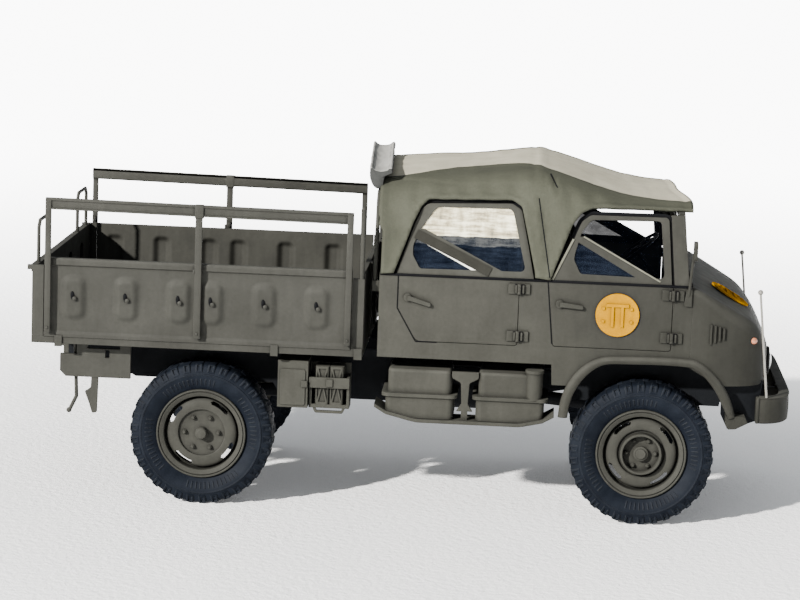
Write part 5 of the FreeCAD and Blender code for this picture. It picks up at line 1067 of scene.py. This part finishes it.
def arch_lips():
    outer, inner = Curve(ARCH_OUTER), Curve(ARCH_INNER)
    rings = []
    for i in range(ARCH_STATIONS + 1):
        here, there = outer.point(i / ARCH_STATIONS), inner.point(i / ARCH_STATIONS)
        spots = [(here.lerp(there, share), y) for share, y in ARCH_SECTION]
        rings.append([Vector((spot.x, y, spot.y)) for spot, y in spots])
    lips = both_sides(skin(rings), plate(ARCH_FOOT, -27.75, 3.2))
    make_piece("rolled_arch_lips", lips, "body_paint", replaces="arch_lips", sharp=35)


def cab_trim():
    face = -CAB_SIDE
    knuckle_shade, knuckles, gaps = [], [], []
    for x, z in HINGES:
        knuckle_shade.append(bar((x - 0.85, face - 0.62, z - 0.92), (x + 0.95, face - 0.1, z + 0.92), 0.05))
        for middle in (x - 0.62, x + 0.05, x + 0.72):
            knuckles.append(bar((middle - 0.19, face - 0.85, z - 0.8), (middle + 0.19, face - 0.3, z + 0.8)))
    for line in DOOR_GAPS:
        for a, b in zip(map(Vector, line), map(Vector, line[1:])):
            way = (b - a).normalized()
            side = Vector((-way.y, way.x)) * 0.10
            gaps.append(plate([a + side, b + side, b - side, a - side], face - 0.05, 0.3))
    make_piece("hinge_knuckles", both_sides(*knuckles), "body_paint")
    # Near-black plates behind the knuckles and in the door gaps: painted shade.
    make_piece("hinge_and_gap_shade", both_sides(*knuckle_shade, *gaps), "body_paint", painted_gap_shade)
    brace = ribbon([(-43.6, 7.6), (-29.6, 1.0)], -0.85, 0.9, -0.07, 0.2)
    make_piece("window_braces", both_sides(brace), "body_paint", brace_paint)


# Front bumper: a channel bent round the front corners

# Section: distance outwards, z. Plan of the right half: x, y
BUMPER_SECTION = [(0, 11.35), (0.12, 11.6), (-0.2, 11.7), (-1.9, 11.7), (-1.9, 11.2), (-0.6, 11.1),
                  (-0.6, 7.2), (-1.2, 7.1), (-1.2, 6.7), (-0.3, 6.7), (0, 6.95), (0.08, 8), (0.1, 9.2),
                  (0.08, 10.4)]
BUMPER_PLAN = [(21.3, -25.6), (22.4, -25.7), (24, -25.2), (25.7, -23.9), (26.9, -21.9), (27.45, -19.4),
               (27.65, -15), (27.7, 0)]
BUMPER_STATIONS = 90
NOSE_BACK = 23.3


def bumper():
    plan = Curve(BUMPER_PLAN + [(x, -y) for x, y in reversed(BUMPER_PLAN[:-1])])
    rings = []
    for share in (i / BUMPER_STATIONS for i in range(BUMPER_STATIONS + 1)):
        here = plan.point(share)
        way = (plan.point(min(share + 0.004, 1.0)) - plan.point(max(share - 0.004, 0.0))).normalized()
        out = Vector((way.y, -way.x))
        rings.append([(here + out * reach).to_3d() + Vector((0, 0, z)) for reach, z in BUMPER_SECTION])
    end = bar((20.9, -25.95, 6.7), (21.6, -23.9, 11.65), 0.3)
    arm = bar((NOSE_BACK, -8.6, 7.0), (27.2, -7.0, 10.4), 0.15)
    hole = turned([(-0.3, 0.55), (0.12, 0.55), (0.14, 0.45), (0.05, 0.03)], (26.95, -21.2, 9.9),
                  (0.93, -0.36, 0), 18)
    make_piece("bumper_channel", joined([flipped(skin(rings)), both_sides(end, arm)]), "body_paint",
               replaces="front_bumper", sharp=30)
    # The holes are shallow near-black cups: painted shade for their depth.
    make_piece("bumper_holes", both_sides(hole), "body_paint", looks["chassis_paint"])


# Stage, lights and camera

def stage():
    """A pale floor that glows a little more the further it is from the truck."""
    mesh = mesh_of("floor", [(-6, -3, 0), (6, -3, 0), (6, 9, 0), (-6, 9, 0)], [(0, 1, 2, 3)])
    s = Shader("pale_floor")
    base = s.ramp(s.noise(30, 5), [(0.3, (0.88, 0.885, 0.895)), (0.7, (0.93, 0.93, 0.93))])
    s.bump(s.noise(1.5, 5, 0.65), 0.9, 0.5)
    away = s.new("VectorMath", "LENGTH")
    s.feed(away.inputs[0], s.place)
    glow = s.new("MapRange", Value=away.outputs["Value"], From_Min=0.05, From_Max=0.6, To_Min=0.1, To_Max=8.0)
    glow.interpolation_type = "SMOOTHSTEP"
    s.set(Base_Color=base, Roughness=0.95)
    s.set(Emission_Color=(1, 1, 1, 1), Emission_Strength=glow.outputs[0])
    mesh.materials.append(s.material)
    add_object("floor", mesh)


SUN_FROM = Vector((-1.35, -1.68, 1.0)).normalized()
# Yaw, pitch and roll in degrees, place in metres
CAMERA_TURN = (-2.98, 9.57, 2.07)
CAMERA_AT = (0.0234, -0.516, 0.1234)
FOCAL_PIXELS, IMAGE_WIDTH = 2666.0, 800


def lights():
    world = bpy.data.worlds.new("studio")
    bpy.context.scene.world = world
    world.use_nodes = True
    background = world.node_tree.nodes["Background"].inputs
    background["Color"].default_value = (0.92, 0.96, 1.0, 1.0)
    background["Strength"].default_value = 0.6
    light = bpy.data.lights.new("key", "SUN")
    light.energy = 15.0
    light.angle = math.radians(2.0)
    light.color = (1.0, 0.97, 0.92)
    key = add_object("key", light)
    key.rotation_euler = (-SUN_FROM).to_track_quat("-Z", "Y").to_euler()
    key.location = SUN_FROM


def camera():
    yaw, pitch, roll = map(math.radians, CAMERA_TURN)
    forward = Vector((math.sin(yaw) * math.cos(pitch), math.cos(yaw) * math.cos(pitch), -math.sin(pitch)))
    data = bpy.data.cameras.new("camera")
    data.sensor_width = 36.0
    data.lens = FOCAL_PIXELS / IMAGE_WIDTH * data.sensor_width
    data.clip_start = 0.01
    data.clip_end = 50.0
    cam = add_object("camera", data)
    aim = forward.to_track_quat("-Z", "Y").to_matrix().to_4x4()
    cam.matrix_world = Matrix.Translation(CAMERA_AT) @ aim @ Matrix.Rotation(roll, 4, "Z")
    bpy.context.scene.camera = cam


for build in (tyres, canvas_hood, rolled_curtain, head_lamps, bed_sides, rails, door_gap_shade, painted_highlight_edges,
              belt_gap_shade, wheel_discs, wheel_house_panels, bumper, arch_lips, cab_trim, stage, lights, camera):
    build()
